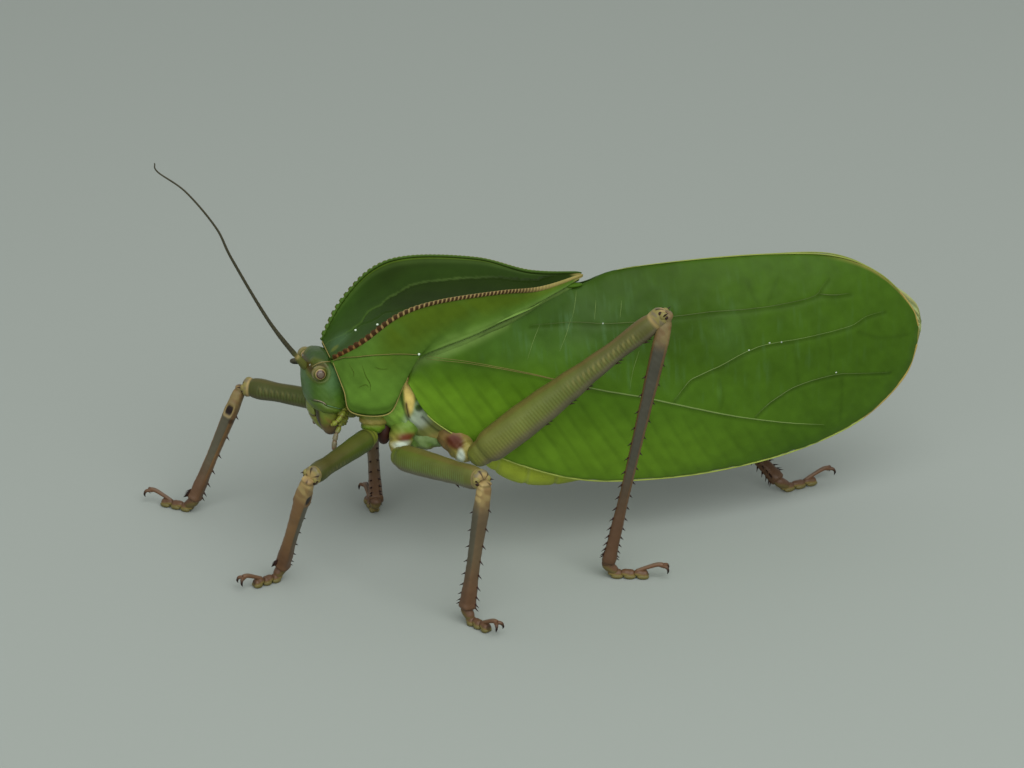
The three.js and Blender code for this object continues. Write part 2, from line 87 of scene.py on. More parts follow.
WING_FOOT = [
    (-0.2, -10.3, 41.6), (3.5, -10.4, 34.3), (11.7, -9.6, 27.1), (23.4, -9.2, 20.1), (37.5, -8.8, 14.8),
    (54, -7.9, 12.8), (70, -6.9, 12.9), (86, -5.6, 15), (100, -4.4, 19.8), (109.6, -3.4, 28.1),
    (113.1, -2.6, 36.8),
]
FAN_TOP = [
    (44, -1.5, 50), (66, -1.6, 54.5), (88, -1.5, 54.5), (104, -1.4, 50.5), (112, -1.3, 45),
    (114, -1.25, 40),
]
FAN_FOOT = [
    (44, -1.5, 40), (66, -1.6, 36), (88, -1.5, 30), (103, -1.4, 27), (111.6, -1.3, 30.5),
    (114, -1.25, 38),
]
# Sections from front to rear: x, centre height, half width, half height.
THORAX = [
    (-10.3, 39, 5, 4.5), (-8, 38.8, 7.6, 7), (-3, 38, 8.8, 9.8), (3, 37.2, 9.3, 12),
    (8.5, 35, 9.2, 12.4), (12.5, 32, 8.4, 10.2), (14, 31, 7.2, 8.4),
]
ABDOMEN = [
    (14.6, 29.5, 7, 8), (18, 27.5, 8, 10.4), (24, 25.1, 7.9, 12.4), (32, 23.9, 7.4, 12.9),
    (42, 23.9, 6.8, 12), (54, 24.6, 5.9, 10.2), (66, 26, 4.8, 7.6), (75, 27, 3.8, 5.6),
    (80, 27.6, 2.4, 3.2),
]
# Sections from the top down: height, front, back, half width.
HEAD = [
    (46.7, -17.7, -15.6, 1.8), (46.1, -18.5, -15, 3.4), (45, -19.5, -13.8, 4.7), (43.4, -20.1, -12, 5.4),
    (41, -20.3, -11.5, 5.9), (38.5, -20.1, -11.5, 6.4), (36.6, -19.8, -11.6, 6.8),
    (35.3, -19.2, -11.9, 6.5), (34.8, -18.7, -12.2, 5.6),
]
HEAD_TURN = 6  # degrees to the left, about an upright line through the neck
NECK = -12
EYE = (-17.9, 5.2, 43.4)  # middle of an eye in the solids
EYEBALL = (-18.15, 5.2, 43.85)
EYE_SIZE = (1.6, 1.55, 1.62)
# part: path, radii, height over width
MOUTH = {
    "labrum": ([(-18.9, 0, 36), (-18.6, 0, 33.7), (-17.5, 0, 31.5), (-15.7, 0, 29.4), (-14, 0, 28.3)],
               [0.6, 0.8, 0.85, 0.75, 0.4], 3.1),
    "mandible": ([(-16.2, 3.5, 36), (-15.9, 3.8, 33.3), (-15.1, 3.1, 30.9), (-13.9, 1.7, 28.8)],
                 [1.9, 1.95, 1.5, 0.5], 1),
    "maxilla": ([(-12.6, 4.4, 35.8), (-12.7, 4.3, 33), (-12.4, 3, 30.6)], [1.2, 1.4, 1.2, 0.5], 1),
    "palp": ([(-12.7, 4.8, 32.8), (-13.6, 5.8, 31.4), (-14.6, 6.4, 29.8), (-15.2, 7, 27.2)],
             [0.45, 0.4, 0.42, 0.4, 0.5, 0.3], 1),
    "labium": ([(-12, 0, 36), (-11.8, 0, 33), (-12.6, 0, 30)], [0.8, 1, 0.9, 0.4], 2.2),
}
SHORT_PALP = [
    (-13.2, 5.7, 35), (-14, 6.2, 34.2), (-14.9, 6.5, 33.4), (-15.7, 6.4, 32.8), (-16.3, 6.1, 32.4),
]
FEELERS = {
    "left": [
        (-19.4, -1.4, 43.2), (-27, -5, 55.3), (-34.9, -9.5, 71.6), (-38, -11, 79.1),
        (-43.8, -12.8, 87.7), (-49.1, -13.8, 92.6), (-49.7, -14.1, 94.6),
    ],
    "right": [
        (-19.2, 1.5, 43.8), (-21.6, 3.1, 43.3), (-20.6, 5.8, 41.6), (-18, 9, 40.2), (-12, 13, 39.5),
        (-2, 16, 40), (12, 17.6, 41), (28, 17.4, 41), (44, 15.8, 40),
    ],
}
FEELER_GIRTH = [0.72, 0.5, 0.36, 0.3, 0.27, 0.24, 0.22, 0.2, 0.18, 0.16, 0.14, 0.12]
# name: hip, root, knee, ankle, toe
LEGS = {
    "foreleg_left": (
        (-6, -4, 37), (-7, -6.2, 29), (-23.4, -23.1, 29.1), (-27.3, -9.7, 2.8), (-36.6, -12.8, 0),
    ),
    "foreleg_right": (
        (-6, 4, 37), (-5.8, 6.2, 29.3), (-29.2, 23.3, 29.8), (-40.4, 25.8, 2.6), (-49.4, 33.4, 0),
    ),
    "midleg_left": (
        (1, -4.6, 32.5), (-3, -9.5, 25.5), (9.2, -37.6, 31.5), (5.5, -36.8, 2.8), (10.4, -44.6, 0),
    ),
    "midleg_right": ((1, 4.6, 32.5), (-3, 9.5, 25.5), (1.6, 39.7, 16), (-2.4, 15.1, 2.8), (-3.2, 25, 0)),
    "hindleg_left": (
        (8.4, -4.6, 29.5), (12.2, -12.6, 24), (49.3, -27, 59.4), (38.2, -24.8, 2.8), (50.1, -28.5, 0),
    ),
    "hindleg_right": (
        (8.4, 4.6, 29.5), (12.2, 12.6, 24), (55.7, 37.4, 36), (85.6, 4.3, 2.4), (98.8, 7.8, 0),
    ),
}
# kind: coxa, femur, tibia
GIRTH = {
    "foreleg": (
        2.5, [1.6, 2.15, 2.1, 1.95, 1.85, 1.75, 1.95, 1.6],
        [1.15, 1.3, 1.4, 1.3, 1.2, 1.15, 1.2, 1.35, 1.3],
    ),
    "midleg": (
        2.8, [1.6, 2.4, 2.4, 2.3, 2.15, 2, 2.1, 1.6], [1.2, 1.3, 1.4, 1.3, 1.2, 1.15, 1.2, 1.35, 1.4],
    ),
    "hindleg": (
        3.3, [2, 3.1, 3.2, 3, 2.6, 2.1, 1.8, 1.95, 1.5],
        [1.2, 1.6, 1.5, 1.3, 1.15, 1.05, 1.05, 1.25, 1.35],
    ),
}
THORNS = {"foreleg": 7, "midleg": 9, "hindleg": 17}
# Where along a thigh its lower spines stand.
SPINES = {"foreleg": (), "midleg": (0.72,), "hindleg": (0.34, 0.47, 0.56, 0.72, 0.86)}

# Rows along and columns round each kind of surface.
GRIDS = {
    "hood": (240, 360), "crest": (900, 20), "head": (170, 220), "eye": (96, 96), "lip": (60, 60),
    "lower_jaw": (50, 48), "palp": (120, 20), "lower_lip": (50, 60), "short_palp": (90, 18),
    "feeler": (1500, 10), "thorax": (150, 220), "hip_skin": (50, 50), "abdomen": (260, 150),
    "wing": (300, 240), "fan": (120, 180), "hip": (60, 60), "foot_neck": (32, 32),
    "foot_joint": (40, 40), "foot_pad": (20, 20), "foot_arch": (60, 28), "claw": (30, 14),
}
# Length of a row, in millimetres, and columns round.
THREAD_ROW, THREAD_COLUMNS = 0.25, 8
THIGH_ROW, THIGH_COLUMNS = 0.17, 64
SHIN_ROW, SHIN_COLUMNS = 0.2, 48
BALL_RINGS, SMALL_BALL, SPECK_BALL, FINE_BALL = 8, 6, 5, 12
TIP_SHARE = 0.08  # width of a thorn's tip over that of its foot

FINISHES = {
    "hood_cuticle": {"rough": 0.5, "grain": 900, "depth": 0.05, "gloss": 0.06},
    "head_cuticle": {"rough": 0.42, "grain": 1100, "depth": 0.04, "coat": 0.08},
    "eye_facets": {"rough": 0.25, "grain": 5200, "depth": 0.02, "mottle": 0.05, "coat": 0.3},
    "mouth_cuticle": {"rough": 0.4, "grain": 1300, "depth": 0.04, "coat": 0.1},
    "feeler_skin": {"rough": 0.55, "grain": 1500, "depth": 0.02},
    "body_skin": {"rough": 0.5, "grain": 800, "depth": 0.06},
    "wing_leaf": {"rough": 0.45, "grain": 520, "depth": 0.04, "gloss": 0.07, "streaks": True},
    "fan_skin": {"rough": 0.5, "grain": 700, "depth": 0.04},
    "leg_cuticle": {"rough": 0.48, "grain": 1000, "depth": 0.05, "coat": 0.04},
    "shin_cuticle": {"rough": 0.45, "grain": 1200, "depth": 0.04, "coat": 0.06},
}

# Where the insect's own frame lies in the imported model's frame.
eye_low, eye_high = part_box("eye_left")
TURN = Matrix.Rotation(math.radians(HEAD_TURN), 3, "Z")
HOME = (Vector(eye_low) + Vector(eye_high)) / 2
HOME -= (TURN @ Vector((EYE[0] - NECK, -EYE[1], EYE[2])) + Vector((NECK, 0, 0))) * MM


# ---- Lines and shapes, for arrays of places ----
def spline(points):
    """A smooth line through points, evenly counted from 0 to 1."""
    own = np.array(points, float)
    held = np.vstack([2 * own[0] - own[1], own, 2 * own[-1] - own[-2]])

    def at(s):
        place = np.clip(np.asarray(s, float), 0, 1) * (len(own) - 1)
        i = np.minimum(place.astype(int), len(own) - 2)
        f = (place - i)[..., None]
        a, b, c, d = held[i], held[i + 1], held[i + 2], held[i + 3]
        square, cube = 2 * a - 5 * b + 4 * c - d, 3 * b - a - 3 * c + d
        return 0.5 * (2 * b + (c - a) * f + square * f**2 + cube * f**3)

    return at


def straight(start, end):
    start, end = np.array(start, float), np.array(end, float)
    return lambda s: start + (end - start) * np.asarray(s, float)[..., None]


def along(values, s):
    """Smooth value at s in a row of evenly spaced numbers."""
    values = np.array(values, float)
    place = np.clip(s, 0, 1) * (len(values) - 1)
    i = np.minimum(place.astype(int), len(values) - 2)
    f = place - i
    f = f * f * (3 - 2 * f)
    return values[i] * (1 - f) + values[i + 1] * f


def unit(v):
    return v / np.maximum(np.linalg.norm(v, axis=-1, keepdims=True), 1e-12)


def ramp(x, low, high):
    """0 below low, 1 above high, smooth between."""
    f = np.clip((x - low) / (high - low), 0, 1)
    return f * f * (3 - 2 * f)


def dome(s, first, last=None):
    """A round rise from 0 at each end to 1."""
    last = first if last is None else last
    a = np.clip(s / first, 0, 1)
    b = np.clip((1 - s) / last, 0, 1)
    return np.sqrt(1 - (1 - a) ** 2) * np.sqrt(1 - (1 - b) ** 2)


def stack(*columns):
    return np.stack(np.broadcast_arrays(*columns), axis=-1)


def tube(path, girth, tall=1.0, up=(0, 0, 1), ends=(0.03, 0.03), square=2.0):
    """A closed rounded limb along a line. up says which way its taller side points."""
    step = 1e-3

    def place(s, t):
        centre = path(s)
        ahead = unit(path(np.minimum(s + step, 1)) - path(np.maximum(s - step, 0)))
        across = unit(np.cross(ahead, np.broadcast_to(np.array(up, float), ahead.shape)))
        high = np.cross(across, ahead)
        radius = (along(girth, s) * dome(s, *ends))[..., None]
        c, n = np.cos(2 * np.pi * t), np.sin(2 * np.pi * t)
        c = (np.sign(c) * np.abs(c) ** (2 / square))[..., None]
        n = (np.sign(n) * np.abs(n) ** (2 / square))[..., None]
        return centre + across * radius * c + high * radius * tall * n

    return place


def trunk(sections, square, ends):
    """Rounded sections across X: x, centre height, half width, half height."""
    line = spline(sections)

    def place(s, t):
        x, middle, wide, high = np.moveaxis(line(s), -1, 0)
        c, n = np.cos(2 * np.pi * t), np.sin(2 * np.pi * t)
        c, n = (np.sign(v) * np.abs(v) ** (2 / square) for v in (c, n))
        shrink = dome(s, *ends)
        return stack(x, wide * shrink * c, middle + high * shrink * n)

    return place


def egg(middle, pole, first, second):
    """A round body from its middle and three half axes, as rows. t runs round the pole."""
    middle, pole, first, second = np.array((middle, pole, first, second), float)

    def place(s, t):
        ring, turn = np.sin(np.pi * s), 2 * np.pi * t
        parts = stack(np.cos(np.pi * s), ring * np.cos(turn), ring * np.sin(turn))
        return middle + parts[:, :1] * pole + parts[:, 1:2] * first + parts[:, 2:] * second

    return place


def mirrored(points, side):
    return np.array(points, float) * [1, side, 1]


def down_leaf(t):
    """How far a place of a leaf lies from its first edge, 0 to 1."""
    return np.where(t <= 0.5, 2 * t, 2 - 2 * t)


def leaf(outer, inner, rim):
    """Two skins over the same s and q, 0 to 1, that meet in a rounded rim. t runs out along one and back."""

    def place(s, t):
        front = t <= 0.5
        q = down_leaf(t)
        edge = dome(s, rim[0]) * dome(q, rim[1])
        share = np.where(front, 0.5 - 0.5 * edge, 0.5 + 0.5 * edge)[..., None]
        return outer(s, q) * (1 - share) + inner(s, q) * share

    return place


def facing(place, s, t, step=2e-3):
    """Each place's own direction out of the surface, as long as the surface there is wide."""
    ds = place(np.minimum(s + step, 1), t) - place(np.maximum(s - step, 0), t)
    dt = place(s, np.minimum(t + step, 1)) - place(s, np.maximum(t - step, 0))
    normal = np.cross(ds, dt)
    here = place(s, t)
    volume = np.sum(normal * (here - here.mean(axis=0)))
    return unit(normal) * (1 if volume > 0 else -1)


# ---- Marks on a surface ----
def stroke(where, path, width):
    """1 on a smooth line through path, fading out over width."""
    line = spline(path)(np.linspace(0, 1, 8 * (len(path) - 1) + 1))
    nearest = np.full(len(where), np.inf)
    for a, b in zip(line[:-1], line[1:]):
        run = b - a
        k = np.clip((where - a) @ run / max(run @ run, 1e-12), 0, 1)
        nearest = np.minimum(nearest, np.linalg.norm(where - a - k[:, None] * run, axis=1))
    return bell(nearest, 0, width)


def spot(where, centre, size, soft=0.35):
    """1 inside an ellipse, fading out at its border."""
    reach = np.linalg.norm((where - np.array(centre, float)) / np.array(size, float), axis=1)
    return ramp(reach, 1 + soft, 1 - soft)


def bell(x, middle, width):
    """1 at middle, fading out over width to both sides."""
    return np.exp(-(((x - middle) / width) ** 2))


def side_on(places):
    """Places as seen from the side: length and height."""
    return places[:, [0, 2]]


def wobble(places, scale, seed=0.0):
    """Soft irregular waves between -1 and 1."""
    x, y, z = (places * scale).T
    a = np.sin(x * 1.7 + 2.1 * np.sin(y * 1.3 + seed) + seed)
    b = np.sin(z * 2.3 + 1.7 * np.sin(x * 0.9 + seed * 2) + y)
    return (a + b + np.sin(x * 3.1 + z * 2.7 + seed)) / 3


# ---- Sizes and colours that a user would change ----
def shown(code):
    return tuple(((code >> shift) & 255) / 255 for shift in (16, 8, 0))


def tone(label, note, code):
    return bpy.props.FloatVectorProperty(
        name=label, description=note, subtype="COLOR_GAMMA", size=3, min=0, max=1, default=shown(code)
    )


def length(label, note, millimetres):
    return bpy.props.FloatProperty(
        name=label, description=note, unit="LENGTH", subtype="DISTANCE", min=0, default=millimetres * MM
    )


class KatydidColours(bpy.types.PropertyGroup):
    """Colours of the cuticle, wings and legs."""

    hood_side: tone("Hood side", "Mid-green side of the hood", 0x456220)
    hood_olive: tone("Hood below the crest", "Olive green under the beaded crest", 0x425612)
    # The hood's green darkened as painted shade in the trough; also used for the thorax seams, the spiracle
    # and a painted shadow line on the wing.
    shaded_disc: tone("Hood disc", "Dark trough between the crests", 0x1B2A06)
    hood_front: tone("Hood front", "Front of the trough", 0x284010)
    crease: tone("Crease", "Paler green of folds and margins", 0x637F3C)
    cream: tone("Cream", "Rims, beads and knee rings", 0xA8935E)
    brown: tone("Brown", "Dark beads of the crest", 0x34130A)
    head: tone("Head", "Cheeks and face", 0x3A5619)
    # On the wings this teal is laid as a painted sheen.
    teal: tone("Teal", "Greyish rear of the head and haze on the wings", 0x4C6B48)
    yellow: tone("Yellow green", "Lips, hips and palps", 0x71792A)
    horn: tone("Horn", "Jaw tips and thorns", 0x22100A)
    leaf: tone("Wing", "Forewing, middle", 0x3E5E14)
    # On the forewing's lower edge this green is also laid as painted light.
    leaf_bright: tone("Wing front", "Forewing, near its root and lower edge", 0x507314)
    leaf_dark: tone("Wing rear", "Forewing, towards its tip", 0x385412)
    vein: tone("Vein", "Pale veins and streaks", 0x6F8548)
    edge: tone("Wing edge", "Thickened margin of a forewing", 0x8D9A4A)
    fan: tone("Hindwing", "Folded hindwing", 0x8E9A66)
    flank: tone("Flank", "Sides of the thorax", 0x5A772B)
    pale: tone("Membrane", "Whitish skin between the plates", 0x9AA596)
    tan: tone("Tan", "Plate behind the hood's lobe", 0xB9A55B)
    blood: tone("Red", "Dark red skin at the leg bases", 0x54180F)
    belly: tone("Belly", "Abdomen", 0x98A830)
    olive: tone("Thigh", "Femora", 0x535825)
    lilac: tone("Thigh underside", "Grey-purple lower face of the femora", 0x5E5648)
    shin: tone("Shin", "Tibiae, middle", 0x4C4533)
    amber: tone("Shin edge", "Orange-brown edges of the tibiae", 0x644A2C)
    rust: tone("Foot", "Lower end of the tibiae and the feet", 0x553D2A)
    pad: tone("Foot pad", "Pads under the feet", 0x746C3C)
    feeler: tone("Feeler", "Antennae", 0x3C3A2A)
    floor: tone("Floor", "Plain floor of the stage", 0x8A918B)


class KatydidSizes(bpy.types.PropertyGroup):
    """Heights of the small relief."""

    vein: length("Vein", "Half width of the main veins of a forewing", 0.17)
    rim: length("Rim", "Half width of the thickened rims of the hood and wings", 0.19)
    bead: length("Crest tooth", "Height of the front teeth on the hood's crests", 0.42)
    thorn: length("Thorn", "Length of the thorns on the tibiae", 1.1)
    pleat: length("Pleat", "Depth of the folds of a hindwing", 0.1)


def hue(name):
    """A colour of the model, for mixing: linear red, green and blue."""
    value = np.array(getattr(bpy.context.scene.katydid_colours, name)[:])
    return np.where(value <= 0.04045, value / 12.92, ((value + 0.055) / 1.055) ** 2.4)


def size(name):
    """A size of the model in millimetres."""
    return getattr(bpy.context.scene.katydid_sizes, name) / MM


# ---- Finishes ----
COAT_ROUGH, BUMP_STRENGTH = 0.2, 0.6
# Noise waves per metre, and the part of the noise that is spread out.
MOTTLE_WAVES, MOTTLE_FROM, MOTTLE_TO = 260, 0.3, 0.7
SCUFF_WAVES, SCUFF_FROM, SCUFF_TO, SCUFF_MOST = 900, 0.5, 0.68, 0.3
SCUFF_LEAN, SCUFF_STRETCH = -14, (1, 0.2, 0.12)


def finish(name, rough, grain, depth, mottle=0.1, coat=0.0, gloss=0.2, streaks=False):
    """Paint from the mesh's own colours, broken up a little, with a fine grain in its surface."""
    if name in bpy.data.materials:
        return bpy.data.materials[name]
    material = bpy.data.materials.new(name)
    material.use_nodes = True
    nodes, links = material.node_tree.nodes, material.node_tree.links
    shader = nodes["Principled BSDF"]
    shader.inputs["Roughness"].default_value = rough
    shader.inputs["Coat Weight"].default_value = coat
    shader.inputs["Coat Roughness"].default_value = COAT_ROUGH
    shader.inputs["Specular IOR Level"].default_value = gloss
    paint = nodes.new("ShaderNodeAttribute")
    paint.attribute_name = "Paint"
    spots = nodes.new("ShaderNodeTexCoord").outputs["Object"]

    def noise(scale, where=spots, detail=3.0):
        node = nodes.new("ShaderNodeTexNoise")
        node.inputs["Scale"].default_value = scale
        node.inputs["Detail"].default_value = detail
        links.new(where, node.inputs["Vector"])
        return node.outputs["Fac"]

    def scaled(source, start, end, low, high):
        node = nodes.new("ShaderNodeMapRange")
        for key, value in zip(("From Min", "From Max", "To Min", "To Max"), (start, end, low, high)):
            node.inputs[key].default_value = value
        links.new(source, node.inputs["Value"])
        return node.outputs["Result"]

    shade = nodes.new("ShaderNodeVectorMath")
    shade.operation = "SCALE"
    links.new(paint.outputs["Color"], shade.inputs[0])
    patches = scaled(noise(MOTTLE_WAVES), MOTTLE_FROM, MOTTLE_TO, 1 - mottle, 1 + mottle)
    links.new(patches, shade.inputs["Scale"])
    colour = shade.outputs["Vector"]
    if streaks:
        # Fine upright scuffs where the paint's alpha asks for them.
        stretch = nodes.new("ShaderNodeMapping")
        stretch.inputs["Rotation"].default_value = (0, math.radians(SCUFF_LEAN), 0)
        stretch.inputs["Scale"].default_value = SCUFF_STRETCH
        links.new(spots, stretch.inputs["Vector"])
        amount = nodes.new("ShaderNodeMath")
        amount.operation = "MULTIPLY"
        scuffs = noise(SCUFF_WAVES, stretch.outputs["Vector"], 4.0)
        links.new(scaled(scuffs, SCUFF_FROM, SCUFF_TO, 0, SCUFF_MOST), amount.inputs[0])
        links.new(paint.outputs["Alpha"], amount.inputs[1])
        pale = nodes.new("ShaderNodeMix")
        pale.data_type = "RGBA"
        pale.inputs["B"].default_value = (*hue("teal") * 1.1, 1)
        links.new(amount.outputs["Value"], pale.inputs["Factor"])
        links.new(colour, pale.inputs["A"])
        colour = pale.outputs["Result"]
    links.new(colour, shader.inputs["Base Color"])
    bump = nodes.new("ShaderNodeBump")
    bump.inputs["Strength"].default_value = BUMP_STRENGTH
    bump.inputs["Distance"].default_value = depth * MM
    links.new(noise(grain), bump.inputs["Height"])
    links.new(bump.outputs["Normal"], shader.inputs["Normal"])
    return material


# ---- Making a piece ----
class Coat:
    """Colours of a surface's places, laid one over another, and how scuffed the places are."""

    def __init__(self, places, name, share=1):
        self.tones = np.tile(hue(name) * share, (len(places), 1))
        self.scuff = np.zeros(len(places))

    def add(self, mask, name, share=1):
        """Lays a share of a colour, or another coat, where the mask is 1."""
        colour = name.tones if isinstance(name, Coat) else hue(name) * share
        mask = np.clip(mask, 0, 1)[..., None]
        self.tones = self.tones * (1 - mask) + colour * mask
        return self

    def dot(self, flat, marks):
        """Adds spots: colour, share of it, strength, middle, reach and softness."""
        for name, share, strength, middle, reach, soft in marks:
            self.add(strength * spot(flat, middle, reach, soft), name, share)
        return self


def plain(name, share=1.0):
    return lambda s, t, places, out: Coat(s, name, share)


class Piece:
    """One piece of the model while it is being made."""

    def __init__(self, name):
        self.name = name
        self.bm = bmesh.new()
        self.layer = self.bm.verts.layers.float_color.new("Paint")

    def draw(self, place, grid, paint, relief=None, floor=False):
        """Draws a grid over a closed surface and welds it where it meets itself."""
        rows, columns = grid
        made = bmesh.ops.create_grid(self.bm, x_segments=rows, y_segments=columns, size=0.5)["verts"]
        spread = np.array([vert.co[:2] for vert in made]) + 0.5
        s, t = spread[:, 0].clip(0, 1), spread[:, 1].clip(0, 1)
        places = place(s, t)
        out = facing(place, s, t)
        coat = paint(s, t, places, out)
        colours = np.hstack([coat.tones, coat.scuff[:, None]])
        if relief is not None:
            places = places + out * relief(s, t, places, out)[:, None]
        if floor:
            places[:, 2] = np.maximum(places[:, 2], 0)
        for vert, position, colour in zip(made, places.tolist(), colours.tolist()):
            vert.co = position
            vert[self.layer] = colour
        bmesh.ops.remove_doubles(self.bm, verts=made, dist=1e-4)
        return places, out

    def skin(self, *drawing, **options):
        """Draws the piece's main surface, which threads can then be laid on."""
        self.base = self.draw(*drawing, **options)
        return self

    def lay(self, flat, side):
        """Places along a smooth line, drawn side-on, where it lies on that side of the main surface."""
        places, out = self.base
        margin, nearest, soft = 1.5, 5, 0.01
        flat = spline(flat)(np.linspace(0, 1, 10 * (len(flat) - 1) + 1))
        low, high = flat.min(axis=0) - margin, flat.max(axis=0) + margin
        seen = side_on(places)
        faces = (out[:, 1] * side > 0.05) & (places[:, 1] * side > 0)
        near = np.flatnonzero(faces & np.all((seen > low) & (seen < high), axis=1))
        apart = ((flat[:, None] - seen[near][None]) ** 2).sum(axis=2)
        pick = np.argpartition(apart, nearest, axis=1)[:, :nearest]
        share = 1 / (np.take_along_axis(apart, pick, 1) + soft)
        share /= share.sum(axis=1, keepdims=True)
        depth = (places[near[pick], 1] * share).sum(axis=1)
        return stack(flat[:, 0], depth, flat[:, 1])

    def thread(self, line, wide, colour, ends=(0.03, 0.03)):
        """A fine cord half sunk in the surface."""
        long = np.linalg.norm(np.diff(line, axis=0), axis=1).sum()
        girth = wide if isinstance(wide, list) else [wide, wide]
        grid = (max(int(long / THREAD_ROW), 8), THREAD_COLUMNS)
        self.draw(tube(spline(line), girth, ends=ends), grid, plain(*colour))
        return self

    def cone(self, start, end, wide, colours, sides=6):
        """A thorn from start to its sharp end, painted from its foot to its tip."""
        start, end = Vector(start), Vector(end)
        way = end - start
        turn = Vector((0, 0, 1)).rotation_difference(way).to_matrix().to_4x4()
        matrix = Matrix.Translation((start + end) / 2) @ turn
        made = bmesh.ops.create_cone(
            self.bm, cap_ends=True, segments=sides, radius1=wide, radius2=wide * TIP_SHARE, depth=way.length,
            matrix=matrix,
        )
        for vert in made["verts"]:
            share = min(max((vert.co - start).dot(way) / way.length_squared, 0), 1)
            vert[self.layer] = (*(colours[0] * (1 - share) + colours[1] * share), 0)
        return self

    def ball(self, centre, radii, colour, rings=BALL_RINGS):
        matrix = Matrix.Translation(centre) @ Matrix.Diagonal((*radii, 1))
        made = bmesh.ops.create_uvsphere(
            self.bm, u_segments=2 * rings, v_segments=rings, radius=1, matrix=matrix
        )
        for vert in made["verts"]:
            vert[self.layer] = (*colour, 0)
        return self

    def swing(self):
        """Turns a piece of the head to where the head looks."""
        bmesh.ops.rotate(self.bm, cent=(NECK, 0, 0), matrix=TURN, verts=self.bm.verts)
        return self

    def set_down(self, material, slot, *nodes):
        """Ends the piece: in metres, in the model's frame, riding on the body and standing for its solids."""
        bm = self.bm
        bmesh.ops.recalc_face_normals(bm, faces=bm.faces)
        bmesh.ops.scale(bm, vec=(MM, MM, MM), verts=bm.verts)
        bmesh.ops.translate(bm, vec=HOME, verts=bm.verts)
        for face in bm.faces:
            face.smooth = True
        mesh = bpy.data.meshes.new(self.name)
        bm.to_mesh(mesh)
        bm.free()
        mesh.materials.append(finish(material, **FINISHES[material]))
        piece = bpy.data.objects.new(self.name, mesh)
        bpy.context.scene.collection.objects.link(piece)
        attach(piece, "root")
        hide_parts(*nodes)


# ---- Hood ----
def hood_section(s, h, inside):
    """A place on the hood's outer skin or inside, h running from its right to its left lower edge."""
    crest, foot = spline(HOOD_CREST)(s), spline(HOOD_EDGE)(s)
    dip = HOOD_DIP * np.sin(np.pi * s.clip(0, 1)).clip(0) ** 1.2
    swell = HOOD_SWELL * np.sin(np.pi * s)
    k = 1 - np.abs(2 * h - 1)
    side = np.where(h <= 0.5, 1, -1)
    rise = (k / 0.5).clip(0, 1)
    wall = foot + (crest - foot) * rise[:, None]
    wall[:, 1] += swell * 4 * rise * (1 - rise)
    inward = ((k - 0.5) / 0.5).clip(0, 1)
    top = stack(crest[:, 0], crest[:, 1] * (1 - inward), crest[:, 2] - dip * (1 - (1 - inward) ** 2.4))
    outer = np.where((k <= 0.5)[:, None], wall, top)
    if inside:
        first = foot + (crest - foot) / 3
        first[:, 1] += swell * 8 / 9
        rising = unit(first - foot)
        low_y = np.maximum(foot[:, 1] - SHELL * np.abs(rising[:, 2]), 0.15)
        low_z = foot[:, 2] - SHELL * np.abs(rising[:, 1])
        roof = np.maximum(crest[:, 2] - dip - SHELL, low_z + 0.02)
        angle = np.pi / 2 * k
        height = np.sin(angle).clip(0) ** 0.7
        outer = stack(outer[:, 0], low_y * np.cos(angle).clip(0) ** 0.7, low_z + (roof - low_z) * height)
    outer[:, 1] *= side
    return outer


def hood_parts(t):
    """How far up the side and into the trough a place of the outer skin is, each 0 to 1."""
    h = (2 * t).clip(0, 1)
    k = 1 - np.abs(2 * h - 1)
    return (k / 0.5).clip(0, 1), ((k - 0.5) / 0.5).clip(0, 1)


FURROW = [(-14.7, 46.3), (-13.6, 47.2), (-11.9, 48.3), (-8.3, 49.4), (-2.3, 49.4), (1.6, 48.7)]
# Seen from above: length and distance from the middle.
CREASE = [
    (-14, 2.2), (-10.9, 0.7), (-7.7, 0.6), (-6, 2.5), (-4.7, 2.8), (-3.3, 2.2), (-1.4, 3.8), (0.3, 4.2),
    (3.9, 6), (6.7, 6.4), (10.2, 6.2), (14.4, 6.1), (22.7, 5.1), (30, 3),
]
SCRATCHES = [
    [(-9.9, 47.3), (-9.2, 44.9), (-8.4, 43.2), (-8.3, 41.4)], [(-10.9, 42.3), (-9.3, 43), (-8.6, 42.2)],
    [(-7.4, 46.9), (-6.4, 46.4), (-4.6, 46.2)], [(-12.2, 47), (-11.5, 45.6), (-11.6, 44.6)],
]
SPECKS = [(1.6, -12.6, 48.9), (-5.9, -8.1, 54.3), (-9.1, -1.3, 50.6)]


def past_crease(places):
    """How far out of the trough's crease a place lies, and the crease's own unevenness."""
    return np.abs(places[:, 1]) - np.interp(places[:, 0], *np.array(CREASE).T), 0.25 * wobble(places, 1.8, 5)


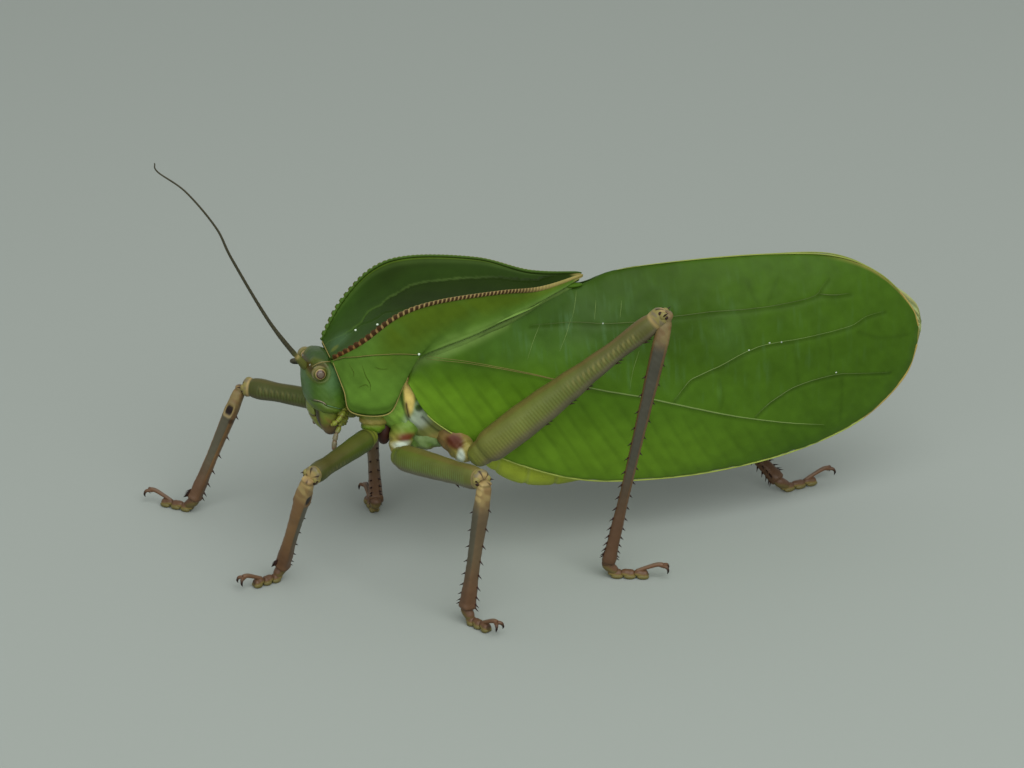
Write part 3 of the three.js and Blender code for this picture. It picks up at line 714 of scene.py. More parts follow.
def paint_hood(s, t, places, out):
    rise, inward = hood_parts(t)
    side = side_on(places)
    x = places[:, 0]
    colour = Coat(s, "hood_side")
    # The lower lobe is painted lighter: painted light from the floor below.
    colour.add(spot(side, (-7, 39), (6, 7), 0.8), "hood_side", 1.5)
    colour.add(ramp(rise, 0.3, 0.85) * ramp(x, -9, -3), "hood_olive")
    colour.add(0.45 * bell(rise, 0.24, 0.13) * ramp(x, 2, 10), "crease")
    colour.add(0.5 * ramp(wobble(places, 0.35, 3), 0, 0.8), "hood_side", 0.85)
    # The trough between the crests is painted darker than the sides: painted shade.
    trough = Coat(s, "shaded_disc").add(ramp(x, 2, -12), "hood_front")
    beyond, jag = past_crease(places)
    trough.add(0.35 * ramp(beyond + jag, -0.1, 0.3) * ramp(beyond, 6, 2), "hood_front")
    trough.add(0.3 * bell(beyond + jag, 0, 0.22) * ramp(x, 26, 14), "crease", 0.7)
    trough.add(0.5 * spot(places, (-12.6, -0.5, 49), (2.2, 2.6, 3), 0.6), "teal", 0.7)
    trough.add(0.5 * spot(places, (-13.6, -2.2, 47.2), (0.8, 0.9, 2)), "yellow", 0.7)
    trough.add(0.12 * bell(inward, 0.07, 0.04), "crease")
    colour.add(ramp(inward, 0.01, 0.05), trough)
    lobe = ramp(s, 0.66, 0.56)
    colour.add(0.6 * bell(rise, 0.07, 0.03) * lobe, "hood_side", 0.6)
    behind = ramp(s, 0.62, 0.7) * (inward <= 0)
    colour.add(0.8 * behind * ramp(rise, 0.2, 0.1), "crease")
    return colour.add(ramp(s, 0.955, 0.985), "pad", 1.2)


def raise_hood(s, t, places, out):
    inward = hood_parts(t)[1]
    wall = inward <= 0
    beyond, jag = past_crease(places)
    fold = -0.22 * bell(beyond + jag, -0.35, 0.35) * ramp(s, 0.05, 0.2)
    furrow = -0.1 * stroke(side_on(places) + [0, 0.3], FURROW, 0.3)
    height = np.where(wall, furrow + 0.05 * wobble(places, 0.9), fold * ramp(inward, 0.1, 0.2))
    return np.where(t < 0.5, height, 0)


def bead_count(s):
    """How many teeth of the crest lie before s. They are widest apart at the front."""
    steps = np.linspace(0, 1, 801)
    run = np.linalg.norm(np.diff(spline(HOOD_CREST)(steps), axis=0), axis=1)
    reach = np.concatenate([[0], np.cumsum(run)])
    apart = 1.7 - 0.82 * ramp(reach / reach[-1], 0.05, 0.5)
    count = np.concatenate([[0], np.cumsum(run / apart[1:])])
    return np.interp(s, steps, count)


HOOD_RIM = (0.012, 0.02)
CREST_GIRTH, CREST_TALL = [0.3, 0.36, 0.33, 0.31, 0.3, 0.36, 0.24], 1.45


def build_hood():
    sections = [lambda s, q, inside=inside: hood_section(s, q, inside) for inside in (False, True)]
    hood = Piece("hood").skin(leaf(*sections, HOOD_RIM), GRIDS["hood"], paint_hood, raise_hood)
    rim = size("rim")
    edge = spline(HOOD_EDGE)(np.linspace(0, 0.64, 60))
    front = hood_section(np.full(41, 0.002), np.linspace(0.27, 0.73, 41), False)
    hood.thread(front, 0.6 * rim, ("pad", 1.1))
    for side in SIDES.values():
        hood.thread(edge * [1, side, 1], [0.5 * rim, 0.6 * rim, 0.7 * rim, 0.5 * rim], ("pad", 1.15))
        hood.thread(hood.lay(FURROW, side) + [0, 0.05 * side, 0], [0.1, 0.08, 0.07, 0.07], ("pad", 0.8))
        # A thin darker cord just under the furrow: painted shade under its edge.
        hood.thread(hood.lay([(x, z - 0.22) for x, z in FURROW], side), 0.06, ("hood_side", 0.6))
        for scratch in SCRATCHES:
            line = hood.lay(scratch, side) + [0, 0.04 * side, 0]
            hood.thread(line, [0.02, 0.06, 0.02], ("hood_olive", 0.75))
        # Skin that closes the narrow space between the hood's pointed end and the wing.
        hood.ball((36.4, side * 1.3, 56.0), (2.3, 0.9, 0.5), hue("leaf_dark"), FINE_BALL)
    for speck in SPECKS:
        hood.ball(speck, (0.26, 0.2, 0.24), hue("pale") * 1.6, SPECK_BALL)
    hood.set_down("hood_cuticle", "shield", "pronotum")
    crests = Piece("hood_crests")
    for side in SIDES.values():
        path = spline(mirrored(HOOD_CREST, side))

        def paint(s, t, places, out, side=side):
            high, aside = out[:, 2], out[:, 1] * side
            beat = np.cos(2 * np.pi * (bead_count(s) - 0.22 * high))
            band = Coat(s, "cream", 0.55).add(0.85 * ramp(s, 0.4, 0.05), "amber", (1.4, 1.1, 0.8))
            brown = (1.3 + 1.5 * ramp(s, 0.3, 0.02))[:, None] * (1.1, 1.25, 0.8)
            block = ramp(beat, -0.75, -0.25) * ramp(s, 0.9, 0.7) * ramp(0.9 - np.abs(high), 0, 0.2)
            band.add(0.8 * ramp(s, 0.72, 0.92), "pad", 1.25)
            band.add(0.92 * block, "horn", brown)
            # The crest is painted darker where its faces look down and lighter where they look up: painted
            # shade.
            green = Coat(s, "shaded_disc").add(0.6 * ramp(high, -0.2, 0.9), "hood_side")
            return green.add(ramp(aside + 0.1 * high, 0.1, 0.35) * ramp(s, 0.01, 0.03), band)

        def relief(s, t, places, out, side=side):
            tooth = ramp(np.cos(2 * np.pi * bead_count(s)), -0.9, 0.3) * (1 - 0.85 * ramp(s, 0.05, 0.55))
            outward = ramp(out[:, 1] * side, -0.6, 0.4)
            height = size("bead") * tooth * ramp(out[:, 2], -0.3, 0.6) * (0.55 + 0.45 * outward)
            return (height - 0.12 * (1 - outward)) * ramp(s, 0.97, 0.8)

        crests.draw(tube(path, CREST_GIRTH, CREST_TALL), GRIDS["crest"], paint, relief)
    crests.set_down("hood_cuticle", "shield", "pronotum")


# ---- Head ----
def head_place(s, t):
    z, front, back, half = np.moveaxis(spline(HEAD)(s), -1, 0)
    angle = 2 * np.pi * t
    c, n = np.cos(angle), np.sin(angle)
    c, n = (np.sign(v) * np.abs(v) ** 0.85 for v in (c, n))
    shrink = dome(s, 0.1, 0.06)
    return stack((front + back) / 2 + (back - front) / 2 * shrink * c, half * shrink * n, z)


BROW = [(-13.6, 44.6), (-15.3, 45.5), (-17.2, 45.8), (-18.4, 45.3), (-19.2, 44.6)]
JOWL = [(-19.4, 37.6), (-18.6, 37.9), (-17.8, 37.7), (-17.2, 37.2), (-15.3, 36.4), (-13.4, 35.5)]


def paint_head(s, t, places, out):
    side = side_on(places)
    x, y, z = places.T
    flank = ramp(np.abs(y), 1.0, 2.5)
    colour = Coat(s, "head")
    # Paint lightened towards the back of the head, where the hood's rim shades it: painted light.
    colour.add(0.7 * ramp(x, -16.5, -13.5) * flank, "head", 2.5)
    colour.add(0.6 * spot(side, (-15, 43), (2.2, 3.2), 0.7) * flank, "teal", 1.2)
    colour.add(ramp(z, 44.6, 45.6), "hood_front", 0.95)
    colour.add(0.4 * ramp(-x, 19, 20.1) * ramp(z, 44, 42), "teal", 0.9)
    colour.add(0.4 * ramp(39 - z, 0, 4) * flank, "yellow", 0.6)
    eye = np.linalg.norm(side - [EYEBALL[0], EYEBALL[2]], axis=1)
    colour.add(0.6 * bell(eye, 1.9, 0.45) * flank, "yellow", 0.5)
    colour.add(0.7 * spot(side, (-19.4, 44.2), (0.6, 1.1), 0.6), "brown", 1.5)
    # A brown band just above the eye: painted shade under the brow.
    colour.add(0.5 * spot(side, (-17.6, 45.0), (1.3, 0.4), 0.6) * flank, "brown", 1.6)
    colour.add(0.6 * stroke(side + [0, 0.25], JOWL[:4], 0.18) * flank, "horn")
    collar = [(-13.6, 44.6), (-12.4, 42.6), (-11.9, 39.8), (-12.2, 37.2)]
    return colour.add(0.3 * stroke(side, collar, 0.22) * flank, "cream")


def raise_head(s, t, places, out):
    side = side_on(places)
    flank = ramp(np.abs(places[:, 1]), 1.0, 2.5)
    eye = np.linalg.norm(side - [EYEBALL[0], EYEBALL[2]], axis=1)
    height = 0.22 * stroke(side, BROW, 0.4) - 0.25 * stroke(side + [0, 0.3], JOWL, 0.3)
    height += 0.2 * bell(eye, 2.05, 0.35) - 0.3 * bell(eye, 0, 1.5)
    return height * flank + 0.03 * wobble(places, 1.6)


def paint_eye(s, t, places, out):
    """Rings round the eye's outward pole: greyish, brown, cream, dark olive and a yellowish border."""
    here = side_on(places)
    away = np.linalg.norm((here - [EYEBALL[0], EYEBALL[2]]) / [EYE_SIZE[0], EYE_SIZE[2]], axis=1)
    inner = np.linalg.norm((here - [EYEBALL[0] - 0.12, EYEBALL[2] + 0.26]) / 1.55, axis=1)
    dots = 0.5 + 0.5 * np.sin(here[:, 0] * 21) * np.sin(here[:, 1] * 21)
    colour = Coat(s, "lilac", 1.05).add(0.6 * dots, "horn", 3)
    colour.add(0.9 * ramp(inner, 0.36, 0.46), "horn", 2.2)
    colour.add(ramp(inner, 0.55, 0.61), "cream", 0.58)
    colour.add(ramp(inner, 0.66, 0.71), "yellow", 0.35)
    return colour.add(ramp(away, 0.86, 0.93), "pad", 0.75)


def build_head():
    head = Piece("head_capsule").skin(head_place, GRIDS["head"], paint_head, raise_head)
    for side in SIDES.values():
        head.thread(head.lay(BROW, side), [0.05, 0.13, 0.13, 0.1], ("pad", 0.9))
        head.thread(head.lay(JOWL[:4], side), [0.05, 0.13, 0.13, 0.08], ("lilac", 1.7))
        head.thread(head.lay(JOWL[3:], side), [0.1, 0.1, 0.05], ("teal", 1.1))
        head.ball((-19.25, side * 2.5, 44.75), (0.25, 0.25, 0.25), hue("pale") * 0.6, SMALL_BALL)
    head.swing().set_down("head_cuticle", "shield", "head")
    for name, side in SIDES.items():
        eyeball = egg(mirrored(EYEBALL, side), *np.diag(EYE_SIZE)[[1, 0, 2]])
        eye = Piece(f"eyeball_{name}").skin(eyeball, GRIDS["eye"], paint_eye)
        eye.swing().set_down("eye_facets", "eye", f"eye_{name}")


# How far the looks of a mouthpart stand forward of its solid, and how much fuller they are.
MOUTH_FORWARD = {"mandible": 0.4, "maxilla": 0.7, "palp": 0.9}
MOUTH_FULLER = {"mandible": 0.25}


def mouth_tube(key, side, square=2.0, ends=(0.08, 0.12)):
    path, radii, tall = MOUTH[key]
    radii = [radius + MOUTH_FULLER.get(key, 0) for radius in radii]
    forward = MOUTH_FORWARD.get(key, 0)
    path = mirrored(path, side) - [forward, 0, 0]
    up = (0, 1, 0) if tall > 1 else (1, 0, 0)
    return tube(spline(path), radii, tall, up, ends, square)


PALP_JOINTS = (0.28, 0.55, 0.78)
SHORT_PALP_JOINTS = 3.5
SHORT_PALP_GIRTH = [0.45, 0.5, 0.4, 0.5, 0.3]


def build_mouth():
    def paint_lip(s, t, places, out):
        colour = Coat(s, "yellow", 0.8)
        colour.add(0.25 * ramp(s, 0.4, 0.1), "teal")
        colour.add(0.85 * ramp(s, 0.6, 0.85), "rust")
        return colour.add(0.8 * bell(s, 0.3, 0.025), "brown")

    def lip_relief(s, t, places, out):
        return -0.2 * bell(s, 0.3, 0.03) + 0.12 * bell(s, 0.6, 0.2)

    lip = Piece("upper_lip").skin(mouth_tube("labrum", 1), GRIDS["lip"], paint_lip, lip_relief)
    lip.swing().set_down("mouth_cuticle", "mouth", "labrum")

    def paint_jaw(s, t, places, out):
        colour = Coat(s, "yellow", 0.62).add(0.45 * ramp(wobble(places, 1.1, 6), -0.4, 0.4), "head")
        colour.add(0.75 * ramp(s + 0.12 * wobble(places, 1.6, 3), 0.2, 0.5), "amber")
        colour.add(ramp(s, 0.52, 0.8), "horn", 1.8)
        edge = ramp(-out[:, 0], 0.75, 0.95)
        return colour.add(0.85 * edge, "horn")

    def paint_lower_jaw(s, t, places, out):
        colour = Coat(s, "yellow")
        return colour.add(0.5 * ramp(wobble(places, 2.2, 1), 0.2, 0.7) + 0.5 * ramp(s, 0.8, 1), "brown", 1.5)

    def lower_jaw_relief(s, t, places, out):
        return 0.18 * wobble(places, 2.6, 3)

    def palp_joint(s):
        return np.min([np.abs(s - joint) for joint in PALP_JOINTS], axis=0)

    def paint_palp(s, t, places, out):
        colour = Coat(s, "yellow", 0.9)
        colour.add(0.85 * ramp(s, 0.35, 0.6), "lilac", 1.1)
        return colour.add(np.maximum(0.7 * bell(palp_joint(s), 0, 0.02), ramp(s, 0.86, 1)), "rust", 1.2)

    def palp_relief(s, t, places, out):
        return 0.1 - 0.16 * bell(palp_joint(s), 0, 0.035) + 0.12 * ramp(s, 0.85, 0.97)

    def paint_short_palp(s, t, places, out):
        joints = np.abs(np.sin(SHORT_PALP_JOINTS * np.pi * s))
        colour = Coat(s, "yellow", 1.05)
        return colour.add(0.7 * ramp(joints, 0.35, 0.1) + 0.6 * ramp(s, 0.9, 1), "amber")

    def short_palp_relief(s, t, places, out):
        return 0.16 * np.abs(np.sin(SHORT_PALP_JOINTS * np.pi * s)) - 0.06 + 0.05 * wobble(places, 2.5, 7)

    for name, side in SIDES.items():
        jaw = Piece(f"jaw_{name}").skin(mouth_tube("mandible", side, 2.4), GRIDS["lip"], paint_jaw)
        jaw.swing().set_down("mouth_cuticle", "mouth", f"mandible_{name}")
        stem = mouth_tube("maxilla", side, 2.2)
        lower = Piece(f"lower_jaw_{name}").skin(stem, GRIDS["lower_jaw"], paint_lower_jaw, lower_jaw_relief)
        lower.draw(mouth_tube("palp", side), GRIDS["palp"], paint_palp, palp_relief)
        lower.swing().set_down("mouth_cuticle", "mouth", f"maxilla_{name}")
    lip = Piece("lower_lip").skin(mouth_tube("labium", 1), GRIDS["lower_lip"], paint_lower_jaw)
    for side in SIDES.values():
        short = tube(spline(mirrored(SHORT_PALP, side)), SHORT_PALP_GIRTH, ends=(0.1, 0.12))
        lip.draw(short, GRIDS["short_palp"], paint_short_palp, short_palp_relief)
    lip.swing().set_down("mouth_cuticle", "mouth", "labium")


FEELER_RINGS = 95


def build_feelers():
    def paint_feeler(s, t, places, out):
        rings = np.sin(2 * np.pi * FEELER_RINGS * s)
        colour = Coat(s, "feeler")
        colour.add(0.5 * ramp(rings, 0.3, 0.9), "feeler", 0.45)
        colour.add(ramp(s, 0.08, 0.04), "olive", 0.8)
        return colour.add(0.5 * bell(s, 0.05, 0.006), "cream")

    def feeler_relief(s, t, places, out):
        rings = np.sin(2 * np.pi * FEELER_RINGS * s)
        base = 0.12 * bell(s, 0.02, 0.018) - 0.14 * bell(s, 0.05, 0.006)
        return base - 0.03 * ramp(rings, 0.5, 1) * ramp(s, 0.06, 0.1)

    for name in SIDES:
        thread = tube(spline(FEELERS[name]), FEELER_GIRTH, ends=(0.01, 0.01))
        feeler = Piece(f"feeler_{name}").skin(thread, GRIDS["feeler"], paint_feeler, feeler_relief)
        feeler.set_down("feeler_skin", "feeler", f"antenna_{name}")


# ---- Trunk ----
# Seen from the side: colour, share of it, strength, middle, reach and softness.
THORAX_SPOTS = [
    # The first spot lightens the flank below the tan plate, which lies in shade: painted light.
    ("flank", 1.8, 0.7, (-1.6, 32), (3, 5), 0.6), ("pad", 1.2, 0.6, (5.2, 29.4), (4, 3.4), 0.6),
    ("pale", 1, 0.8, (1.9, 32.6), (2.4, 2.2), 0.6), ("shaded_disc", 1, 0.8, (2.2, 35.4), (0.8, 0.9), 0.35),
    ("blood", 1, 0.95, (-0.4, 29.3), (2.2, 1), 0.35), ("pale", 1.5, 1, (-1.4, 27.8), (1.7, 1.2), 0.35),
    ("blood", 1, 0.95, (9.4, 25.6), (2, 2.2), 0.35), ("pale", 1.4, 1, (10.3, 22.6), (1.2, 1.5), 0.35),
    ("tan", 0.8, 0.8, (6.2, 26.4), (2.6, 2.2), 0.5),
]
SPIRACLE = (2.2, 35.6)
SEAMS = [[(-1.6, 45), (-1.8, 40), (-1, 36), (0.5, 31), (1.2, 28)], [(3, 33), (5.5, 30), (8, 28)]]
ABDOMEN_RING = 6.5
HIP_SKIN, HIP_SKIN_SIZE = (5.2, 5, 26.5), (5.2, 2.3, 2.3)


def paint_thorax(s, t, places, out):
    side = side_on(places)
    colour = Coat(s, "flank")
    colour.add(0.7 * ramp(wobble(places, 0.5, 4), -0.1, 0.6), "hood_side")
    colour.dot(side, THORAX_SPOTS)
    ring = spot(side, SPIRACLE, (1.5, 1.5)) * (1 - spot(side, SPIRACLE, (0.9, 0.9)))
    colour.add(0.5 * ring, "pale")
    dark = spot(side, (-4.6, 28.2), (2.0, 3.2), 0.4) * ramp(wobble(places, 4.5, 1), -0.5, 0.1)
    colour.add(0.9 * dark, "horn", 0.7)
    for seam, strength in zip(SEAMS, (0.7, 0.6)):
        colour.add(strength * stroke(side, seam, 0.3), "shaded_disc")
    colour.add(spot(side, (0.2, 39.6), (1.15, 5.6), 0.25), "tan", 1.1)
    return colour.add(0.95 * stroke(side, [(-0.5, 37), (-0.2, 35), (0.2, 33.4)], 0.24), "horn")


def raise_thorax(s, t, places, out):
    side = side_on(places)
    grooves = sum(-0.35 * stroke(side, seam, 0.4) for seam in SEAMS)
    return grooves + 0.4 * spot(side, (0.2, 39.6), (1.2, 5.4), 0.5) + 0.12 * wobble(places, 1.1, 2)


def paint_abdomen(s, t, places, out):
    ring = np.abs(np.sin(np.pi * places[:, 0] / ABDOMEN_RING))
    colour = Coat(s, "belly")
    colour.add(ramp(places[:, 2], 18, 30), "leaf_bright")
    colour.add(0.5 * ramp(ring, 0.2, 0.05), "edge")
    return colour.add(0.5 * ramp(places[:, 2], 15, 11), "yellow", 1.3)


def paint_hip_skin(s, t, places, out):
    colour = Coat(s, "crease", (1.1, 0.98, 1.5))
    colour.add(0.8 * ramp(wobble(places, 0.7, 8), 0.1, -0.6), "flank")
    return colour.add(0.5 * ramp(-out[:, 2], 0.3, 0.9), "amber", 1.2)


def raise_hip_skin(s, t, places, out):
    return 0.35 * wobble(places, 0.7, 8) + 0.12 * wobble(places, 2.2, 9)


def raise_abdomen(s, t, places, out):
    return -0.25 * ramp(np.abs(np.sin(np.pi * places[:, 0] / ABDOMEN_RING)), 0.4, 0.05)


def build_trunk():
    thorax = Piece("thorax_skin")
    thorax.skin(trunk(THORAX, 2.3, (0.06, 0.05)), GRIDS["thorax"], paint_thorax, raise_thorax)
    for side in SIDES.values():
        thorax.ball((-4.4, side * 4.6, 28.9), (1.6, 2.0, 2.8), hue("horn") * 1.8, FINE_BALL)
        fold = egg(mirrored(HIP_SKIN, side), *np.diag(HIP_SKIN_SIZE))
        thorax.draw(fold, GRIDS["hip_skin"], paint_hip_skin, raise_hip_skin)
    thorax.set_down("body_skin", "flank", "thorax")
    abdomen = Piece("abdomen_skin")
    abdomen.skin(trunk(ABDOMEN, 2.4, (0.05, 0.04)), GRIDS["abdomen"], paint_abdomen, raise_abdomen)
    abdomen.set_down("body_skin", "belly", "abdomen")


# ---- Wings ----
MAIN_VEIN = [
    (3.5, 46.8), (10.5, 45.6), (19, 42.8), (28.6, 39.6), (35.4, 37.2), (40.1, 36), (48.5, 33.7),
    (57.2, 30.9), (68.3, 27.1), (82.4, 23), (90.9, 20.9),
]
SIDE_VEINS = [
    [
        (55.8, 32), (57.8, 34.1), (59.6, 36), (61.6, 36.8), (66.1, 38.2), (70.5, 40), (73.4, 40.9),
        (76.1, 41.5), (84.2, 41.9), (93.2, 42.7), (96.7, 43.2), (99.7, 44.5), (104, 44.9),
    ],
    [(74.1, 25.8), (76.9, 28.3), (79.7, 29.9), (84.1, 31.8), (92.2, 32.8), (98.3, 32), (105.6, 30.9)],
    [
        (26.1, 50.3), (32.7, 49.7), (41.7, 49), (49.4, 48.8), (53.7, 49.1), (64.7, 49.3), (73.4, 49.1),
        (82.3, 49.4), (88, 50.3), (89.5, 51.7), (91.2, 53.3),
    ],
    [(88.8, 50.5), (92.4, 49.9), (95.9, 49.8)],
]
CROSS_VEINS = [
    [(82.9, 39.6), (83.4, 36.4), (83.9, 31.8)], [(90.6, 40.8), (91, 37.4), (90.6, 34.2)],
    [(93.9, 31.9), (94.3, 26.5), (94.6, 21.3)], [(77.2, 49.5), (78.8, 52.2), (80.2, 54.4)],
    [(75.5, 49.7), (74.2, 51.7), (73.6, 54.1)], [(97.7, 41.4), (103.3, 39.2), (109.7, 38.6)],
    [(66, 35.3), (66.7, 31.9), (66.1, 28.8)], [(71.3, 48.7), (71.8, 46.1), (72.5, 43.4), (73.2, 41.1)],
]
STREAKS = [
    [(28.3, 50), (26.5, 46.9), (25, 43.5)], [(35.3, 50.3), (33.8, 47.2), (32.1, 44.2)],
    [(40.9, 53.3), (40, 49.7)], [(46.1, 53.1), (45.3, 49.5)], [(48.9, 43.3), (47.3, 39.4), (46.4, 35.4)],
    [(37.2, 55.1), (36.4, 52.6), (35.5, 50.2)],
]
WING_SPECKS = [(41.7, 49), (72.7, 40.8), (77.3, 41.8), (80, 41.6), (92.5, 33.3)]
FOLD = [(0.3, 45), (1.9, 46.2), (6.5, 47.4), (12.7, 49.4), (20.5, 51.6)]
HOOD_LINE = [(12.8, 49.9), (17.2, 51), (20.6, 51.8), (24.1, 52.7), (28.8, 54.2), (33.5, 55.2), (36.5, 55.8)]


WING_RIM, FAN_RIM = (0.006, 0.015), (0.008, 0.02)
RIB_APART, RIB_SLANT = 4.6, 0.72
FAN_PLEATS = 9
# Cords along a forewing's edges: how far across, from, to, girth, colour and share.
WING_EDGES = (
    (0.997, 0.1, 0.82, [0.6, 1, 1, 0.9], ("edge", 1)),
    (0.997, 0.8, 0.985, [0.9, 1.1, 1.1], ("tan", 0.6)),
    (0.003, 0.4, 0.86, [0.4, 0.8, 0.8, 0.8], ("edge", 0.7)),
    (0.003, 0.85, 0.985, [0.8, 1.1, 1.1], ("tan", 0.6)),
)


def wing_skin(top_points, foot_points, bulge, side):
    lap = WING_LAP if side > 0 else 0
    top = spline([(x, y, z - lap if i > 3 else z) for i, (x, y, z) in enumerate(top_points)])
    foot = spline(foot_points)

    def at(s, q):
        s, q = s.clip(0, 1), q.clip(0, 1)
        place = top(s) * (1 - q)[:, None] + foot(s) * q[:, None]
        place[:, 1] -= bulge * np.sin(np.pi * s).clip(0) ** 1.3 * (4 * q * (1 - q)) ** 0.75
        return place

    return at


def wing_place(top, foot, bulge, thick, side, rim):
    outer = wing_skin(top, foot, bulge, side)

    def inner(s, q):
        step = 0.01
        run = outer(s + step, q) - outer(s - step, q)
        down = outer(s, q + step) - outer(s, q - step)
        normal = unit(np.cross(run, down))
        normal *= np.where(normal[:, 1:2] < 0, -1, 1)
        place = outer(s, q) + normal * thick
        place[:, 1] = np.minimum(place[:, 1], -GAP)
        return place

    both = leaf(outer, inner, rim)

    def turned(s, t):
        place = both(s, t)
        place[:, 1] *= -side
        return place

    return turned


def paint_wing(s, t, places, out):
    side = side_on(places)
    q = down_leaf(t)
    x, z = side.T
    above = z - np.interp(x, *np.array(MAIN_VEIN).T)
    colour = Coat(s, "leaf")
    colour.add(0.75 * ramp(x + 0.8 * above, 60, 0) * ramp(above, 6, 0), "leaf_bright")
    colour.add(0.9 * ramp(x, 40, 10) * ramp(above, -9, 1), "leaf", 0.7)
    colour.add(0.85 * ramp(x + 1.2 * above, 20, 90), "leaf_dark", 1.1)
    # Lighter and bluer towards the lower edge: painted light from the floor below.
    colour.add(0.8 * ramp(q, 0.55, 0.95) * ramp(x, 90, 40), "leaf_bright", (1.3, 1.2, 1.9))
    # Darker and less blue along the wing's upper part: painted shade, dulling the sheen there.
    shaded_top = ramp(above, 4, 13) * ramp(x, 10, 28) * (1 - 0.6 * ramp(x, 50, 75))
    colour.add(0.85 * shaded_top, "leaf_dark", (0.55, 0.57, 0.4))
    ribs = np.sin(2 * np.pi * (x + RIB_SLANT * above) / RIB_APART + 0.8 * wobble(places, 0.15))
    fading = ramp(-above, 0.8, 4) * (1 - 0.6 * ramp(q, 0.7, 1))
    colour.add(0.26 * ramp(ribs, 0.4, 1) * fading, "leaf_dark", 0.8)
    cross = np.sin(2 * np.pi * (x + 0.25 * z) / 6.5 + 1.5 * wobble(places, 0.2))
    colour.add(0.2 * ramp(cross, 0.4, 1) * ramp(above, 1, 6), "leaf_dark", 0.8)
    # A pale bluish patch over the wing's front half: painted sheen.
    sheen = spot(side, (36, 49), (16, 7), 0.8) * 0.12 + spot(side, (68.5, 45), (4, 5), 0.7) * 0.1
    colour.add(sheen + 0.06 * spot(side, (20, 47), (8, 4), 0.8), "teal", 0.8)
    for path in SIDE_VEINS:
        colour.add(0.6 * stroke(side - [0.15, -0.4], path, 0.4), "leaf_dark", 0.55)
    for path in CROSS_VEINS:
        colour.add(0.4 * stroke(side, path, 0.45), "leaf_dark", 0.6)
    colour.add(0.4 * stroke(side + [0, 0.5], MAIN_VEIN, 0.35), "leaf_dark", 0.6)
    colour.add(0.8 * stroke(side, FOLD, 1.1), "crease", 0.9)
    tip = ramp(x, 88, 108)
    rim = np.minimum(np.minimum(q, 1 - q) * 42, (1 - s) * 55)
    colour.add(0.8 * tip * ramp(rim, 1.0, 0.3), "tan", 0.6)
    colour.add(0.6 * ramp(q * 42, 1.6, 0.6) * ramp(x, 38, 42) * ramp(x, 56, 50), "leaf_dark", 0.6)
    scuff = 0.9 * spot(side, (38, 46), (17, 9), 0.7) + 0.45 * spot(side, (66, 42), (30, 12), 0.6) + 0.12
    scuff = 0.75 * scuff * ramp(wobble(places, 0.35, 5), -0.7, 0.6) * ramp(above, -0.5, 2)
    colour.scuff = scuff.clip(0, 1)
    return colour


def raise_wing(s, t, places, out):
    x, z = side_on(places).T
    above = z - np.interp(x, *np.array(MAIN_VEIN).T)
    height = -0.045 * np.sin(2 * np.pi * (x + RIB_SLANT * above) / RIB_APART) * ramp(-above, 0.8, 3)
    for path in SIDE_VEINS:
        height -= 0.12 * stroke(side_on(places) - [0.15, -0.5], path, 0.5)
    return (height + 0.14 * wobble(places, 0.22, 1) + 0.05 * wobble(places, 0.8, 2)) * (t < 0.5)


def vein_wing(wing, side):
    """The wing's raised veins, scuffs and rims."""
    vein, rim = size("vein"), size("rim")
    for lift in (-0.28, 0.28):
        root = [(x, z + lift * (1 - x / 40)) for x, z in MAIN_VEIN[:6]]
        wing.thread(wing.lay(root, side), [0.04, 0.07, 0.07], ("pad", 0.8))
    girth = [share * vein for share in (0.5, 1, 1, 1, 0.7, 0.2)]
    wing.thread(wing.lay(MAIN_VEIN[4:], side), girth, ("vein", 0.75))
    for path, share in zip(SIDE_VEINS, (0.65, 0.5, 0.4, 0.4)):
        girth = [part * vein for part in (0.15, 0.6, 0.5, 0.3, 0.1)]
        wing.thread(wing.lay(path, side), girth, ("vein", share))
    for path in STREAKS:
        wing.thread(wing.lay(path, side), [0.02, 0.05, 0.04, 0.02], ("vein", 0.8))
    for x, z in WING_SPECKS:
        middle = wing.lay([(x, z), (x + 0.1, z)], side)[0]
        wing.ball(middle.tolist(), (0.22, 0.12, 0.18), hue("pale"), SPECK_BALL)
    # A thin dark cord on the wing along the hood's hind edge: a painted shadow of the hood's edge.
    wing.thread(wing.lay(HOOD_LINE, side), [0.04, 0.1, 0.1, 0.08], ("shaded_disc", 0.5))
    sunk = np.array([0, -side, 0])
    under = wing.lay([(x, z - 0.1) for x, z in HOOD_LINE], side) + 0.5 * sunk
    wing.thread(under, [0.7, 0.8, 0.8, 0.7], ("crease", 0.6))
    ridge = wing.lay([(x, z + 0.4) for x, z in FOLD], side) + 1.05 * sunk
    wing.thread(ridge, [0.4, 1.1, 1.35, 1.35, 1.0], ("crease", 0.8))
    at = wing_skin(WING_TOP, WING_FOOT, WING_BULGE, side)
    for q, first, last, girth, colour in WING_EDGES:
        line = at(np.linspace(first, last, 60), np.full(60, q)) * [1, -side, 1]
        wing.thread(line, [share * rim for share in girth], colour, (0.01, 0.01))


def paint_fan(s, t, places, out):
    q = down_leaf(t)
    colour = Coat(s, "fan")
    return colour.add(0.5 * ramp(np.sin(2 * np.pi * FAN_PLEATS * q), 0.4, 1) * ramp(s, 0.97, 0.9), "tan", 0.5)


def fan_relief(s, t, places, out):
    q = down_leaf(t)
    return size("pleat") * np.sin(2 * np.pi * FAN_PLEATS * q) * ramp(np.minimum(q, 1 - q), 0, 0.05)


